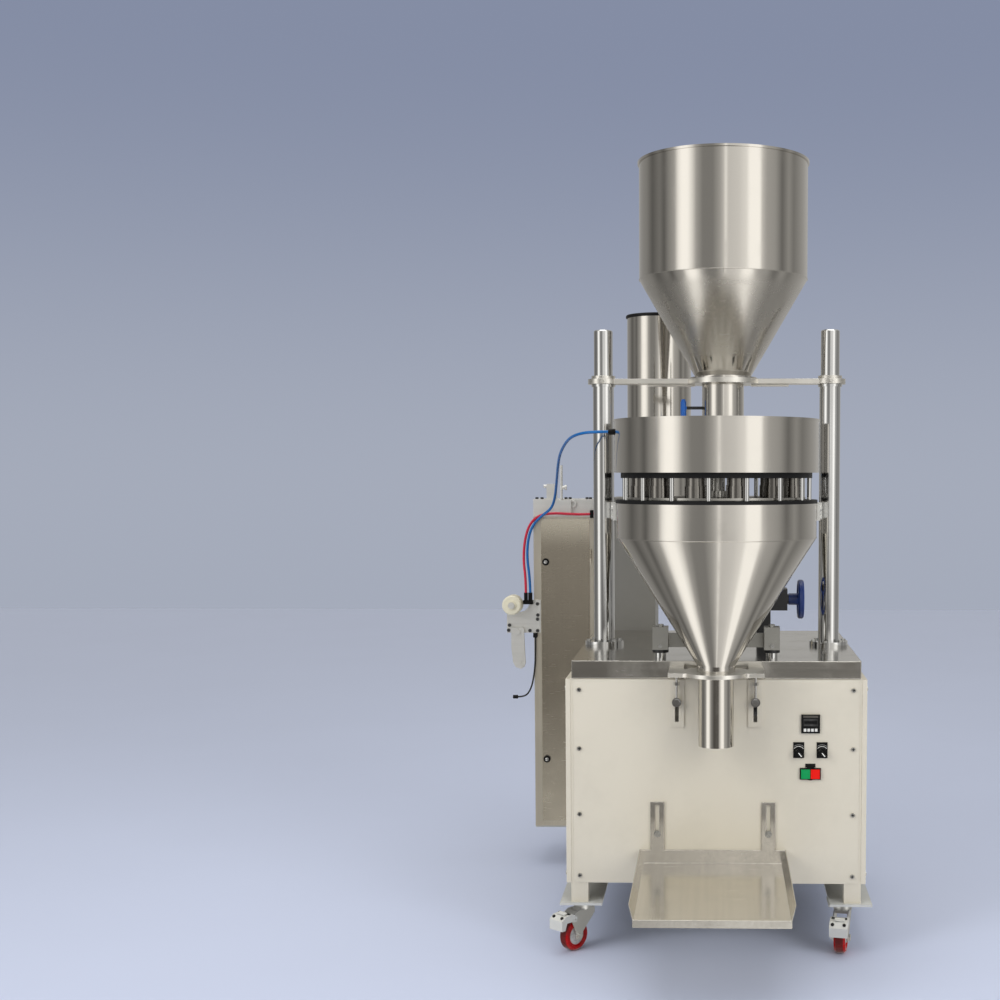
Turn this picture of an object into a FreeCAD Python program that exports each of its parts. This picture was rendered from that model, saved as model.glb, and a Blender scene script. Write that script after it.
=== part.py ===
import FreeCAD, Part
import math
import os
import Sketcher
from FreeCAD import Placement, Rotation, Vector

# Granule packing machine: a rotary volumetric filler on a castored base.
# X runs to the right, Y away from the front panel and Z up from the floor.
# All sizes are in millimetres.

doc = FreeCAD.newDocument("granule_packing_machine")
sheet = doc.addObject("Spreadsheet::Sheet", "Sizes")


class Dim:
    """A length that carries both its number and its sheet expression."""

    def __init__(self, number, text):
        self.number = number
        self.text = text

    def combine(self, other, sign, swap=False):
        first, second = (other, self) if swap else (self, other)
        a, b = number(first), number(second)
        results = {"+": a + b, "-": a - b, "*": a * b, "/": a / b if b else 0.0}
        return Dim(results[sign], "(%s %s %s)" % (words(first), sign, words(second)))

    def __add__(self, other):
        return self.combine(other, "+")

    def __radd__(self, other):
        return self.combine(other, "+", True)

    def __sub__(self, other):
        return self.combine(other, "-")

    def __rsub__(self, other):
        return self.combine(other, "-", True)

    def __mul__(self, other):
        return self.combine(other, "*")

    def __rmul__(self, other):
        return self.combine(other, "*", True)

    def __truediv__(self, other):
        return self.combine(other, "/")

    def __neg__(self):
        return self.combine(-1.0, "*")


def number(length):
    return float(length.number) if isinstance(length, Dim) else float(length)


def words(length):
    return length.text if isinstance(length, Dim) else "%.6g" % length


sheet_rows = []


def size(alias, millimetres, meaning):
    """Write one driving dimension to the sheet and return it."""
    row = len(sheet_rows) + 1
    sheet_rows.append(alias)
    sheet.set("A%d" % row, meaning)
    sheet.set("B%d" % row, str(millimetres))
    sheet.setAlias("B%d" % row, alias)
    return Dim(millimetres, "Sizes." + alias)


# Driving dimensions of the base.
base_width = size("base_width", 744, "width of the top cover")
base_depth = size("base_depth", 700, "depth of the base")
base_top = size("base_top", 764, "height of the working surface")
lip_height = size("lip_height", 45, "height of the top cover's folded edge")
base_bottom = size("base_bottom", 183, "height of the panels' lower edge")
panel_width = size("panel_width", 736, "width of the front panel")
panel_gap = size("panel_gap", 3, "gap between the top cover and a panel")
sheet_metal = size("sheet_metal", 2, "thickness of folded sheet")
side_pan = size("side_pan", 12, "depth of a folded side panel")
frame_tube = size("frame_tube", 44, "side of the square frame tube")
skid_spread = size("skid_spread", 350, "centre of a skid from the machine's middle")
skid_width = size("skid_width", 110, "width of a skid plate")
skid_top = size("skid_top", 131, "height of a skid's upper face")
skid_plate = size("skid_plate", 6, "thickness of a skid plate")
skid_back = size("skid_back", 1110, "rear end of the skids")
wheel_radius = size("wheel_radius", 40, "castor wheel radius")
wheel_width = size("wheel_width", 30, "castor wheel width")
castor_trail = size("castor_trail", 34, "distance from swivel to axle")
axle_radius = size("axle_radius", 5, "castor axle radius")
running = size("running", 0.06, "radial clearance of a running fit")
seat_gap = size("seat_gap", 0.3, "gap between pieces that move apart")

# Driving dimensions of the columns, the crossbar and the upper hopper.
column_spread = size("column_spread", 315, "column centre from the middle")
column_y = size("column_y", 350, "column centre behind the front panel")
column_radius = size("column_radius", 29, "radius of the lower column")
neck_radius = size("neck_radius", 26, "radius of the turned upper column")
shoulder_top = size("shoulder_top", 1484, "height of the column's shoulder")
column_top = size("column_top", 1640, "height of the columns")
flange_radius = size("flange_radius", 54, "radius of a column's flange")
flange_plate = size("flange_plate", 12, "thickness of a column's flange")
collar_height = size("collar_height", 7, "height of a stop collar")
collar_radius = size("collar_radius", 33, "radius of a stop collar")
bar_height = size("bar_height", 14, "thickness of the crossbar")
bar_depth = size("bar_depth", 56, "depth of the crossbar")
clamp_radius = size("clamp_radius", 42.5, "radius of the crossbar's clamp rings")
disc_radius = size("disc_radius", 101, "radius of the crossbar's middle ring")
hopper_x = size("hopper_x", 18, "upper hopper's axis")
hopper_radius = size("hopper_radius", 232, "radius of the upper hopper")
hopper_top = size("hopper_top", 2095, "height of the upper hopper's rim")
hopper_knee = size("hopper_knee", 1777, "height where the hopper's cone starts")
hopper_foot = size("hopper_foot", 77.6, "radius of the cone's lower end")
hopper_neck = size("hopper_neck", 58, "radius of the feed neck")
neck_bottom = size("neck_bottom", 1300, "height of the feed neck's lower end")
hopper_wall = size("hopper_wall", 2, "wall of the hoppers and the drum")

# Driving dimensions of the turret and the lower hopper.
turret_y = size("turret_y", 145, "turret axis behind the front panel")
drum_radius = size("drum_radius", 270, "radius of the dosing drum")
drum_bottom = size("drum_bottom", 1246, "height of the drum's lower edge")
drum_top = size("drum_top", 1385, "height of the drum's rim")
seal_plate = size("seal_plate", 9, "thickness of the black sealing plate")
seal_ring = size("seal_ring", 14, "height of the black ring under the drum")
seal_top = size("seal_top", 1175, "height of the sealing plate's upper face")
ring_radius = size("ring_radius", 265, "radius of the lower hopper's ring")
ring_bottom = size("ring_bottom", 1075, "height where the lower cone starts")
post_circle = size("post_circle", 245, "radius of the circle of spacer posts")
post_radius = size("post_radius", 6, "radius of a spacer post")
post_count = 16
cup_circle = size("cup_circle", 205, "radius of the circle of measuring cups")
cup_bore = size("cup_bore", 23, "inner radius of an upper cup")
cup_wall = size("cup_wall", 1.6, "wall of a measuring cup")
cup_slack = size("cup_slack", 0.4, "radial gap between telescoping cups")
cup_count = 12
lower_disc_bottom = size("lower_disc_bottom", 1176, "height under the lower cup disc")
disc_plate = size("disc_plate", 6, "thickness of a cup disc")
lower_cup_top = size("lower_cup_top", 1212, "height of the lower cups' rims")
upper_cup_bottom = size("upper_cup_bottom", 1193, "height of the upper cups' ends")
upper_disc_bottom = size("upper_disc_bottom", 1263, "height under the upper cup disc")
shaft_radius = size("shaft_radius", 15, "radius of the drive shaft")
drive_tube = size("drive_tube", 30, "radius of the drive column")
outlet_y = size("outlet_y", -90, "outlet axis, in front of the panel")
outlet_radius = size("outlet_radius", 48, "radius of the lower hopper's outlet")
outlet_top = size("outlet_top", 766, "height of the lower hopper's outlet")
pipe_radius = size("pipe_radius", 44.5, "radius of the discharge pipe")
pipe_bottom = size("pipe_bottom", 562, "height of the discharge pipe's mouth")
plate_top = size("plate_top", 750, "height of the outlet ring plate")
ARM_BAR = size("arm_bar", 8, "thickness of a catch hopper arm")
ARM_SADDLE = size("arm_saddle", 28, "reach of a saddle on a column")
strip_spread = size("strip_spread", 101, "centre of a slotted strip")
strip_width = size("strip_width", 37, "width of a slotted strip")
strip_plate = size("strip_plate", 4, "thickness of a slotted strip")
guide_spread = size("guide_spread", 144, "centre of a guide post")
guide_y = size("guide_y", 35, "guide post behind the front panel")
guide_radius = size("guide_radius", 15, "radius of a guide post")

# Driving dimensions of the tray and the controls.
tray_x = size("tray_x", -8, "middle of the bag tray")
tray_half = size("tray_half", 181, "half of the tray's width")
tray_floor = size("tray_floor", 236, "height of the tray's floor")
tray_depth = size("tray_depth", 468, "depth of the tray")
tray_wall = size("tray_wall", 35, "height of the tray's walls")
tray_leg = size("tray_leg", 143.5, "centre of a tray leg from the tray's middle")
tray_bolt = size("tray_bolt", 314, "height of the tray's bolts")
counter_x = size("counter_x", 243, "middle of the counter and the switches")
counter_z = size("counter_z", 602, "height of the counter's middle")
counter_side = size("counter_side", 48, "side of the counter's bezel")
counter_body_side = size("counter_body_side", 44.6, "side of the counter's case")
selector_z = size("selector_z", 528, "height of the selector knobs")
selector_spread = size("selector_spread", 30, "selector from the switches' middle")
button_z = size("button_z", 472, "height of the push buttons")
stem_radius = size("stem_radius", 7, "radius of a switch stem")
handwheel_y = size("handwheel_y", 300, "handwheel axis behind the front panel")
handwheel_z = size("handwheel_z", 897, "height of the handwheel's axis")
handwheel_radius = size("handwheel_radius", 54, "radius of the handwheel")

# Driving dimensions of the rear unit.
rear_gap = size("rear_gap", 90, "gap between the base and the rear unit")
rear_y = base_depth + rear_gap
rear_depth = size("rear_depth", 260, "depth of the rear cabinet")
cabinet_left = size("cabinet_left", -571, "left side of the rear cabinet")
cabinet_right = size("cabinet_right", -376, "right side of the rear cabinet")
cabinet_top_z = size("cabinet_top_z", 1110, "height of the rear cabinet")
door_left = size("door_left", -547, "left edge of the cabinet door")
door_right = size("door_right", -392, "hinge line of the cabinet door")
beam_top = size("beam_top", 1165, "height of the aluminium top block")
tube_x = size("tube_x", -182, "axis of the forming tube")
tube_y = size("tube_y", 905, "forming tube behind the front panel")
tube_radius = size("tube_radius", 101, "radius of the forming tube")
tube_top = size("tube_top", 1741, "height of the forming tube")
roller_x = size("roller_x", -632, "axis of the film roller")
roller_z = size("roller_z", 838, "height of the film roller")
roller_radius = size("roller_radius", 30, "radius of the film roller")
arm_x = size("arm_x", -622, "pivot of the tension arm")
arm_z = size("arm_z", 750, "height of the tension arm's pivot")

# Turns that lay an upright shape along another axis.
ALONG = {
    "Z": Rotation(),
    "X": Rotation(Vector(0, 1, 0), 90),
    "Y": Rotation(Vector(1, 0, 0), -90),
    "-Y": Rotation(Vector(1, 0, 0), 90),
    "-X": Rotation(Vector(0, 1, 0), -90),
    "-Z": Rotation(Vector(1, 0, 0), 180),
}
PLANES = {"XY": "XY_Plane", "XZ": "XZ_Plane", "YZ": "YZ_Plane"}


def put(thing, x, y, z, along="Z"):
    """Place an object and bind each coordinate that has an expression."""
    thing.Placement = Placement(Vector(number(x), number(y), number(z)), ALONG[along])
    for axis, length in (("x", x), ("y", y), ("z", z)):
        if isinstance(length, Dim):
            thing.setExpression(".Placement.Base." + axis, length.text)
    return thing


def set_sizes(thing, **lengths):
    for name, length in lengths.items():
        setattr(thing, name, number(length))
        if isinstance(length, Dim):
            thing.setExpression(name, length.text)
    return thing


def block(name, x, y, z, length, width, height):
    """A box from its lowest corner, along X, Y and Z."""
    box = doc.addObject("Part::Box", name)
    set_sizes(box, Length=length, Width=width, Height=height)
    return put(box, x, y, z)


def middle_block(name, x, y, z, length, width, height):
    """A box centred on x and y that stands on z."""
    return block(name, x - length / 2, y - width / 2, z, length, width, height)


def rod(name, x, y, z, radius, length, along="Z"):
    cylinder = doc.addObject("Part::Cylinder", name)
    set_sizes(cylinder, Radius=radius, Height=length)
    return put(cylinder, x, y, z, along)


def hexagon(name, x, y, z, radius, height, along="Z"):
    prism = doc.addObject("Part::Prism", name)
    prism.Polygon = 6
    set_sizes(prism, Circumradius=radius, Height=height)
    return put(prism, x, y, z, along)


def join(name, pieces):
    fused = doc.addObject("Part::MultiFuse", name)
    fused.Shapes = pieces
    fused.Refine = True
    return fused


def carve(name, base, tools):
    """Take one or more tools away from a base."""
    tool = tools[0]
    if len(tools) > 1:
        tool = doc.addObject("Part::Compound", name + "_tools")
        tool.Links = tools
    result = doc.addObject("Part::Cut", name)
    result.Base = base
    result.Tool = tool
    return result


def group(name, pieces):
    """Separate solids that share one sub-part."""
    compound = doc.addObject("Part::Compound", name)
    compound.Links = pieces
    return compound


def sleeve(name, x, y, z, outer, inner, height, along="Z"):
    shell = rod(name + "_outer", x, y, z, outer, height, along)
    bore = rod(name + "_bore", x, y, z, inner, height, along)
    return carve(name, shell, [bore])


def ring_of(name, piece_maker, count, x, y, radius, start=0.0):
    """Repeat a small piece round a vertical axis."""
    pieces = []
    for index in range(count):
        angle = math.radians(start) + index * 2 * math.pi / count
        piece_x = x + radius * round(math.cos(angle), 6)
        piece_y = y + radius * round(math.sin(angle), 6)
        pieces.append(piece_maker("%s_%d" % (name, index), piece_x, piece_y))
    return pieces


def new_body(name, x=0, y=0, z=0, along="Z"):
    body = doc.addObject("PartDesign::Body", name)
    return put(body, x, y, z, along)


def new_sketch(body, name, plane):
    sketch = body.newObject("Sketcher::SketchObject", name)
    role = PLANES[plane]
    support = [f for f in body.Origin.OriginFeatures if f.Role == role][0]
    sketch.AttachmentSupport = (support, [""])
    sketch.MapMode = "FlatFace"
    return sketch


def fix_point(sketch, label, geometry, corner, u, v):
    """Hold a sketch point at u, v from the sketch's origin."""
    for kind, axis, length in (("DistanceX", "u", u), ("DistanceY", "v", v)):
        rule = Sketcher.Constraint(kind, -1, 1, geometry, corner, number(length))
        sketch.renameConstraint(sketch.addConstraint(rule), axis + label)
        if isinstance(length, Dim):
            sketch.setExpression("Constraints." + axis + label, length.text)


def outline(sketch, points):
    """Add a closed outline of straight lines with every corner bound."""
    first = len(sketch.Geometry)
    count = len(points)
    for index, (u, v) in enumerate(points):
        next_u, next_v = points[(index + 1) % count]
        start = Vector(number(u), number(v), 0)
        end = Vector(number(next_u), number(next_v), 0)
        sketch.addGeometry(Part.LineSegment(start, end))
    for index in range(count):
        rule = Sketcher.Constraint("Coincident", first + index, 2, first + (index + 1) % count, 1)
        sketch.addConstraint(rule)
    for index, (u, v) in enumerate(points):
        fix_point(sketch, "%d" % (first + index), first + index, 1, u, v)


def rectangle(sketch, left, low, right, high):
    outline(sketch, [(left, low), (right, low), (right, high), (left, high)])


def circle(sketch, u, v, radius):
    index = len(sketch.Geometry)
    centre = Vector(number(u), number(v), 0)
    sketch.addGeometry(Part.Circle(centre, Vector(0, 0, 1), number(radius)))
    rule = Sketcher.Constraint("Radius", index, number(radius))
    sketch.renameConstraint(sketch.addConstraint(rule), "r%d" % index)
    if isinstance(radius, Dim):
        sketch.setExpression("Constraints.r%d" % index, radius.text)
    fix_point(sketch, "%d" % index, index, 3, u, v)


def pad(body, sketch, length, reverse=False):
    feature = body.newObject("PartDesign::Pad", sketch.Name + "_pad")
    feature.Profile = sketch
    feature.Reversed = reverse
    set_sizes(feature, Length=length)
    sketch.Visibility = False
    return feature


def pocket_through(body, sketch):
    feature = body.newObject("PartDesign::Pocket", sketch.Name + "_cut")
    feature.Profile = sketch
    feature.Type = "ThroughAll"
    feature.Midplane = True
    return feature


def revolve(body, sketch):
    """Turn a profile drawn on the XZ plane round the body's Z axis."""
    feature = body.newObject("PartDesign::Revolution", sketch.Name + "_turn")
    feature.Profile = sketch
    feature.ReferenceAxis = (sketch, ["V_Axis"])
    feature.Angle = 360
    return feature


def repeat_round(body, feature, count):
    pattern = body.newObject("PartDesign::PolarPattern", feature.Name + "_round")
    pattern.Originals = [feature]
    axis = [f for f in body.Origin.OriginFeatures if f.Role == "Z_Axis"][0]
    pattern.Axis = (axis, [""])
    pattern.Angle = 360
    pattern.Occurrences = count
    body.Tip = pattern
    return pattern


def turned(name, x, y, z, profile, along="Z"):
    """A body turned from a closed half profile of radius and height pairs."""
    body = new_body(name, x, y, z, along)
    sketch = new_sketch(body, name + "_profile", "XZ")
    outline(sketch, profile)
    revolve(body, sketch)
    return body


nodes = []


def node(label, thing):
    """Name a finished sub-part, which also names its file."""
    thing.Label = label
    nodes.append((label, thing))
    return thing


def bolt(name, x, y, z, head=6.5, height=4, along="Z"):
    """A hexagon bolt head that seats on its face."""
    return hexagon(name, x, y, z, head, height, along)


def cap_screw(name, x, y, z, along="-Y", head=5.5, height=4):
    return rod(name, x, y, z, head, height, along)


# The base: a welded tube frame on two long skid plates.
leg_x = panel_width / 2 + 8 - frame_tube
rail_top = base_top - lip_height
frame_side = panel_width / 2 + 8


def make_base_frame():
    pieces = []
    leg_height = rail_top - skid_top
    rail_low = base_bottom + sheet_metal
    for name, x in (("left", -frame_side), ("right", leg_x)):
        for row, y in (("front", sheet_metal), ("rear", base_depth - frame_tube)):
            post = block("leg_%s_%s" % (name, row), x, y, skid_top, frame_tube, frame_tube, leg_height)
            pieces.append(post)
        run = base_depth - frame_tube * 2
        for level, z in (("low", rail_low), ("high", rail_top - frame_tube)):
            pieces.append(block("side_rail_%s_%s" % (name, level), x, frame_tube, z,
                                frame_tube, run, frame_tube))
    for row, y in (("front", sheet_metal), ("rear", base_depth - frame_tube)):
        for level, z in (("low", rail_low), ("high", rail_top - frame_tube)):
            pieces.append(block("cross_rail_%s_%s" % (row, level), -frame_side, y, z,
                                frame_side * 2, frame_tube, frame_tube))
    beam_z = rail_top - frame_tube
    for row, y in (("drive", turret_y + 75), ("column", column_y)):
        pieces.append(block("bearer_" + row, -frame_side, y, beam_z, frame_side * 2, frame_tube, frame_tube))
    return node("base_frame", join("base_frame", pieces))


FRONT_SWIVEL_Y = 42
LEFT_SWIVEL_X = -350
RIGHT_SWIVEL_X = 333
REAR_CASTOR_Y = 900
CASTOR_PLATE = 5
plate_low = skid_top - skid_plate


def make_chassis_skids():
    """Two skids, and the straps behind that carry the rear unit."""
    pieces = []
    for name, side in (("left", -1), ("right", 1)):
        x = skid_spread * side - skid_width / 2
        pieces.append(block("skid_" + name, x, -10, skid_top - skid_plate, skid_width, skid_back + 10,
                            skid_plate))
        for row, y in (("front", FRONT_SWIVEL_Y), ("rear", REAR_CASTOR_Y)):
            swivel_x = RIGHT_SWIVEL_X if (name, row) == ("right", "front") else skid_spread * side
            pieces.append(middle_block("castor_plate_%s_%s" % (name, row), swivel_x, y,
                                       plate_low - CASTOR_PLATE, 80, 72, CASTOR_PLATE))
    strap_right = skid_spread + skid_width / 2
    for name, y in (("front", rear_y + 8), ("rear", rear_y + rear_depth - 78)):
        pieces.append(block("strap_" + name, cabinet_left, y, skid_top - skid_plate,
                            strap_right - cabinet_left, 70, skid_plate))
    return node("chassis_skids", join("chassis_skids", pieces))


panel_top = base_top - lip_height - panel_gap
SWITCH_HOLE = 11.2
EYE_Z = 659
EYE_PIN = 4.9
TRAY_SHANK = 4.6


def make_front_panel():
    """Powder coated sheet with the switch holes and two welded slotted strips."""
    body = new_body("front_panel")
    face = new_sketch(body, "panel_face", "XZ")
    rectangle(face, -panel_width / 2, base_bottom, panel_width / 2, panel_top)
    pad(body, face, sheet_metal, True)
    for name, side in (("left", -1), ("right", 1)):
        strip = new_sketch(body, "strip_" + name, "XZ")
        middle = strip_spread * side
        rectangle(strip, middle - strip_width / 2, 593, middle + strip_width / 2, panel_top)
        pad(body, strip, strip_plate)
    holes = new_sketch(body, "panel_holes", "XZ")
    half = counter_body_side / 2 + 0.2
    rectangle(holes, counter_x - half, counter_z - half, counter_x + half, counter_z + half)
    for side in (-1, 1):
        circle(holes, counter_x + selector_spread * side, selector_z, SWITCH_HOLE)
        rectangle(holes, strip_spread * side - 5, 606, strip_spread * side + 5, 650)
        circle(holes, strip_spread * side, EYE_Z, EYE_PIN + 0.1)
        circle(holes, tray_x + tray_leg * side, tray_bolt, TRAY_SHANK + 0.1)
    circle(holes, counter_x, button_z, SWITCH_HOLE + 7)
    pocket_through(body, holes)
    return node("front_panel", body)


def make_cover_panels():
    """Side panels folded as shallow pans, and the louvred rear panel."""
    pieces = []
    height = panel_top - base_bottom
    for name, x, inner in (("left", -frame_side - side_pan, -frame_side - side_pan + sheet_metal),
                           ("right", frame_side, frame_side)):
        pan = block("pan_" + name, x, 0, base_bottom, side_pan, base_depth, height)
        hollow = block("pan_space_" + name, inner, sheet_metal, base_bottom + sheet_metal,
                       side_pan - sheet_metal, base_depth - sheet_metal * 2, height - sheet_metal * 2)
        pieces.append(carve("side_" + name, pan, [hollow]))
    body = new_body("rear_sheet", 0, base_depth + sheet_metal, 0)
    face = new_sketch(body, "rear_face", "XZ")
    rectangle(face, -panel_width / 2, base_bottom, panel_width / 2, panel_top)
    pad(body, face, sheet_metal)
    louvres = new_sketch(body, "louvres", "XZ")
    for row in range(6):
        z = base_bottom + 90 + row * 18
        rectangle(louvres, 60, z, 260, z + 6)
    pocket_through(body, louvres)
    pieces.append(body)
    return node("cover_panels", group("cover_panels", pieces))


def make_top_cover():
    """A brushed pan with holes for the drive column and the posts."""
    body = new_body("top_cover")
    plan = new_sketch(body, "cover_plan", "XY")
    rectangle(plan, -base_width / 2, -3, base_width / 2, base_depth + 3)
    plan.AttachmentOffset = Placement(Vector(0, 0, number(base_top - lip_height)), Rotation())
    plan.setExpression(".AttachmentOffset.Base.z", (base_top - lip_height).text)
    pad(body, plan, lip_height)
    inside = new_sketch(body, "cover_inside", "XY")
    wall = 3
    rectangle(inside, wall - base_width / 2, 0, base_width / 2 - wall, base_depth)
    inside.AttachmentOffset = Placement(Vector(0, 0, number(base_top - wall)), Rotation())
    inside.setExpression(".AttachmentOffset.Base.z", (base_top - wall).text)
    hollow = body.newObject("PartDesign::Pocket", "cover_hollow")
    hollow.Profile = inside
    set_sizes(hollow, Length=lip_height - wall)
    holes = new_sketch(body, "cover_holes", "XY")
    circle(holes, 0, turret_y, drive_tube + 0.3)
    pocket_through(body, holes)
    return node("top_cover", body)


def make_panel_screws():
    pieces = []
    heights = (688.6, 535.6, 364, 202.5)
    for index, z in enumerate(heights):
        for side in (-1, 1):
            x = (panel_width / 2 - 15) * side
            pieces.append(cap_screw("front_screw_%d_%d" % (index, side), x, 0, z))
            pieces.append(cap_screw("rear_screw_%d_%d" % (index, side), x, base_depth + sheet_metal, z, "Y"))
    for index, z in enumerate((688.6, 202.5)):
        for row, y in enumerate((26, 674)):
            pieces.append(cap_screw("left_screw_%d_%d" % (index, row), -frame_side - side_pan, y, z, "-X"))
            pieces.append(cap_screw("right_screw_%d_%d" % (index, row), frame_side + side_pan, y, z, "X"))
    return node("panel_screws", group("panel_screws", pieces))


# The columns and what they carry.
bar_bottom = shoulder_top + collar_height + seat_gap
bar_top = bar_bottom + bar_height


def make_columns():
    """Chromed columns with a flange, a shoulder and a stop collar each."""
    pieces = []
    for name, side in (("left", -1), ("right", 1)):
        profile = [(0, base_top), (flange_radius, base_top), (flange_radius, base_top + flange_plate),
                   (column_radius, base_top + flange_plate), (column_radius, shoulder_top),
                   (neck_radius, shoulder_top), (neck_radius, column_top - 3),
                   (neck_radius - 3, column_top), (0, column_top)]
        pieces.append(turned("column_" + name, column_spread * side, column_y, 0, profile))
        pieces.append(sleeve("stop_collar_" + name, column_spread * side, column_y, shoulder_top,
                             collar_radius, neck_radius + running, collar_height))
    return node("columns", group("columns", pieces))


def make_cross_beam():
    """The crossbar with two clamp rings and the ring that carries the hopper."""
    body = new_body("crossbar_body", 0, column_y, bar_bottom)
    plan = new_sketch(body, "bar_plan", "XY")
    half = bar_depth / 2
    rectangle(plan, -column_spread, -half, column_spread, half)
    pad(body, plan, bar_height)
    for name, x, radius in (("left", -column_spread, clamp_radius), ("right", column_spread, clamp_radius),
                            ("middle", hopper_x, disc_radius)):
        ring = new_sketch(body, "ring_" + name, "XY")
        circle(ring, x, 0, radius)
        pad(body, ring, bar_height)
    for name, side in (("left", -1), ("right", 1)):
        boss = new_sketch(body, "boss_" + name, "XY")
        circle(boss, column_spread * side, 0, collar_radius)
        pad(body, boss, bar_height + 9)
    ribs = new_sketch(body, "bar_rib", "XY")
    rectangle(ribs, -190, -8, -60, 8)
    rectangle(ribs, 96, -8, 200, 8)
    pad(body, ribs, 6, True)
    bores = new_sketch(body, "bar_bores", "XY")
    circle(bores, -column_spread, 0, neck_radius + running)
    circle(bores, column_spread, 0, neck_radius + running)
    circle(bores, hopper_x, 0, hopper_neck + 1)
    pocket_through(body, bores)
    screws = []
    for name, side in (("left", -1), ("right", 1)):
        screws.append(hexagon("bar_bolt_" + name, column_spread * side, column_y - clamp_radius + 0.2,
                              bar_bottom + 7, 5, 6, "-Y"))
    return node("cross_beam", join("cross_beam", [body] + screws))


def make_upper_hopper():
    """A spun shell: rolled rim, cylinder, cone, seat flange and feed neck."""
    wall = hopper_wall
    seat = bar_top
    profile = [(hopper_radius, hopper_top - 6), (hopper_radius + 4, hopper_top - 6),
               (hopper_radius + 4, hopper_top), (hopper_radius - wall, hopper_top),
               (hopper_radius - wall, hopper_knee), (hopper_foot - wall, seat + 7),
               (hopper_neck - wall, seat + 4), (hopper_neck - wall, neck_bottom),
               (hopper_neck, neck_bottom), (hopper_neck, seat), (hopper_foot + 16, seat),
               (hopper_foot + 16, seat + 4), (hopper_foot, seat + 4), (hopper_foot, seat + 7),
               (hopper_radius, hopper_knee)]
    return node("upper_hopper", turned("upper_hopper", hopper_x, column_y, 0, profile))


def make_level_sensor():
    """Blue capacitive sensor on a black arm beside the feed neck."""
    arm_z_low = 1422
    x = hopper_x - hopper_neck
    body = rod("sensor_barrel", x - 52, column_y, 1404, 8, 40)
    cap = rod("sensor_cap", x - 52, column_y, 1444, 6, 6)
    arm = block("sensor_arm", x - 46, column_y - 6, arm_z_low, 46, 12, 8)
    return node("level_sensor", join("level_sensor", [body, cap, arm]))


# The turret: drum, posts, sealing plates, cup discs and cups.
def make_dosing_drum():
    """The open product drum with a rolled rim and a turned-in foot."""
    wall = 3
    profile = [(drum_radius - wall, drum_bottom + 3), (post_circle - 9, drum_bottom + 3),
               (post_circle - 9, drum_bottom), (drum_radius, drum_bottom), (drum_radius, drum_top - 5),
               (drum_radius + 2, drum_top - 5), (drum_radius + 2, drum_top), (drum_radius - wall, drum_top)]
    return node("dosing_drum", turned("dosing_drum", 0, turret_y, 0, profile))


POST_START = 18
CUP_START = 15


def make_spacer_posts():
    height = drum_bottom - seal_ring - seal_top

    def post(name, x, y):
        return rod(name, x, y, seal_top, post_radius, height)

    posts = ring_of("post", post, post_count, 0, turret_y, post_circle, POST_START)
    return node("spacer_posts", group("spacer_posts", posts))


def make_sealing_plates():
    """The black plate under the cups, and the black ring under the drum."""
    body = new_body("sealing_disc", 0, turret_y, seal_top - seal_plate)
    plan = new_sketch(body, "seal_plan", "XY")
    circle(plan, 0, 0, ring_radius + 2)
    circle(plan, 0, 0, drive_tube + 0.5)
    pad(body, plan, seal_plate)
    gate = new_sketch(body, "seal_gate", "XY")
    circle(gate, 0, -cup_circle, cup_bore + 6)
    pocket_through(body, gate)
    ring = sleeve("drum_seal", 0, turret_y, drum_bottom - seal_ring, post_circle + 8,
                  post_circle - 10, seal_ring)
    return node("sealing_plates", group("sealing_plates", [body, ring]))


upper_cup_outer = cup_bore + cup_wall
lower_cup_bore = upper_cup_outer + cup_slack
lower_cup_outer = lower_cup_bore + cup_wall


CUP_ANGLE = math.radians(CUP_START)


def cup_disc(name, z, radius, hole, hub_radius, hub_height):
    """A disc with a hub and one hole for each cup."""
    body = new_body(name, 0, turret_y, z)
    plan = new_sketch(body, name + "_plan", "XY")
    circle(plan, 0, 0, radius)
    pad(body, plan, disc_plate)
    hub = new_sketch(body, name + "_hub", "XY")
    circle(hub, 0, 0, hub_radius)
    pad(body, hub, hub_height)
    bore = new_sketch(body, name + "_bore", "XY")
    circle(bore, 0, 0, shaft_radius + running)
    pocket_through(body, bore)
    seat = new_sketch(body, name + "_seat", "XY")
    circle(seat, cup_circle * math.cos(CUP_ANGLE), cup_circle * math.sin(CUP_ANGLE), hole)
    cut = pocket_through(body, seat)
    repeat_round(body, cut, cup_count)
    return node(name, body)


def make_cups(name, bottom, top, outer, inner):
    def cup(piece, x, y):
        return sleeve(piece, x, y, bottom, outer, inner, top - bottom)

    return node(name, group(name, ring_of(name, cup, cup_count, 0, turret_y, cup_circle, CUP_START)))


def make_drive_shaft():
    """The turret's shaft with a keyed head that drives the discs."""
    profile = [(0, 600), (shaft_radius, 600), (shaft_radius, 1300), (shaft_radius - 2, 1302), (0, 1302)]
    return node("drive_shaft", turned("drive_shaft", 0, turret_y, 0, profile))


def make_drive_column():
    bore = shaft_radius + running
    top = seal_top - 2
    profile = [(bore, base_top - 60), (drive_tube, base_top - 60), (drive_tube, top), (bore, top)]
    return node("drive_column", turned("drive_column", 0, turret_y, 0, profile))


def make_drive_motor():
    """Worm gearbox under the cover with a motor lying across the base."""
    top = base_top - 60
    case = middle_block("gearbox_case", 0, turret_y, top - 96, 130, 110, 96)
    shell = rod("motor_shell", 65, turret_y, top - 50, 56, 190, "X")
    cap = rod("motor_cap", 255, turret_y, top - 50, 60, 40, "X")
    bore = rod("gearbox_bore", 0, turret_y, top - 120, shaft_radius + running, 130)
    foot = middle_block("gearbox_foot", 0, turret_y + 32, top - 16, 190, 86, 16)
    solid = join("gearbox_solid", [case, shell, cap, foot])
    return node("drive_motor", carve("drive_motor", solid, [bore]))


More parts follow.
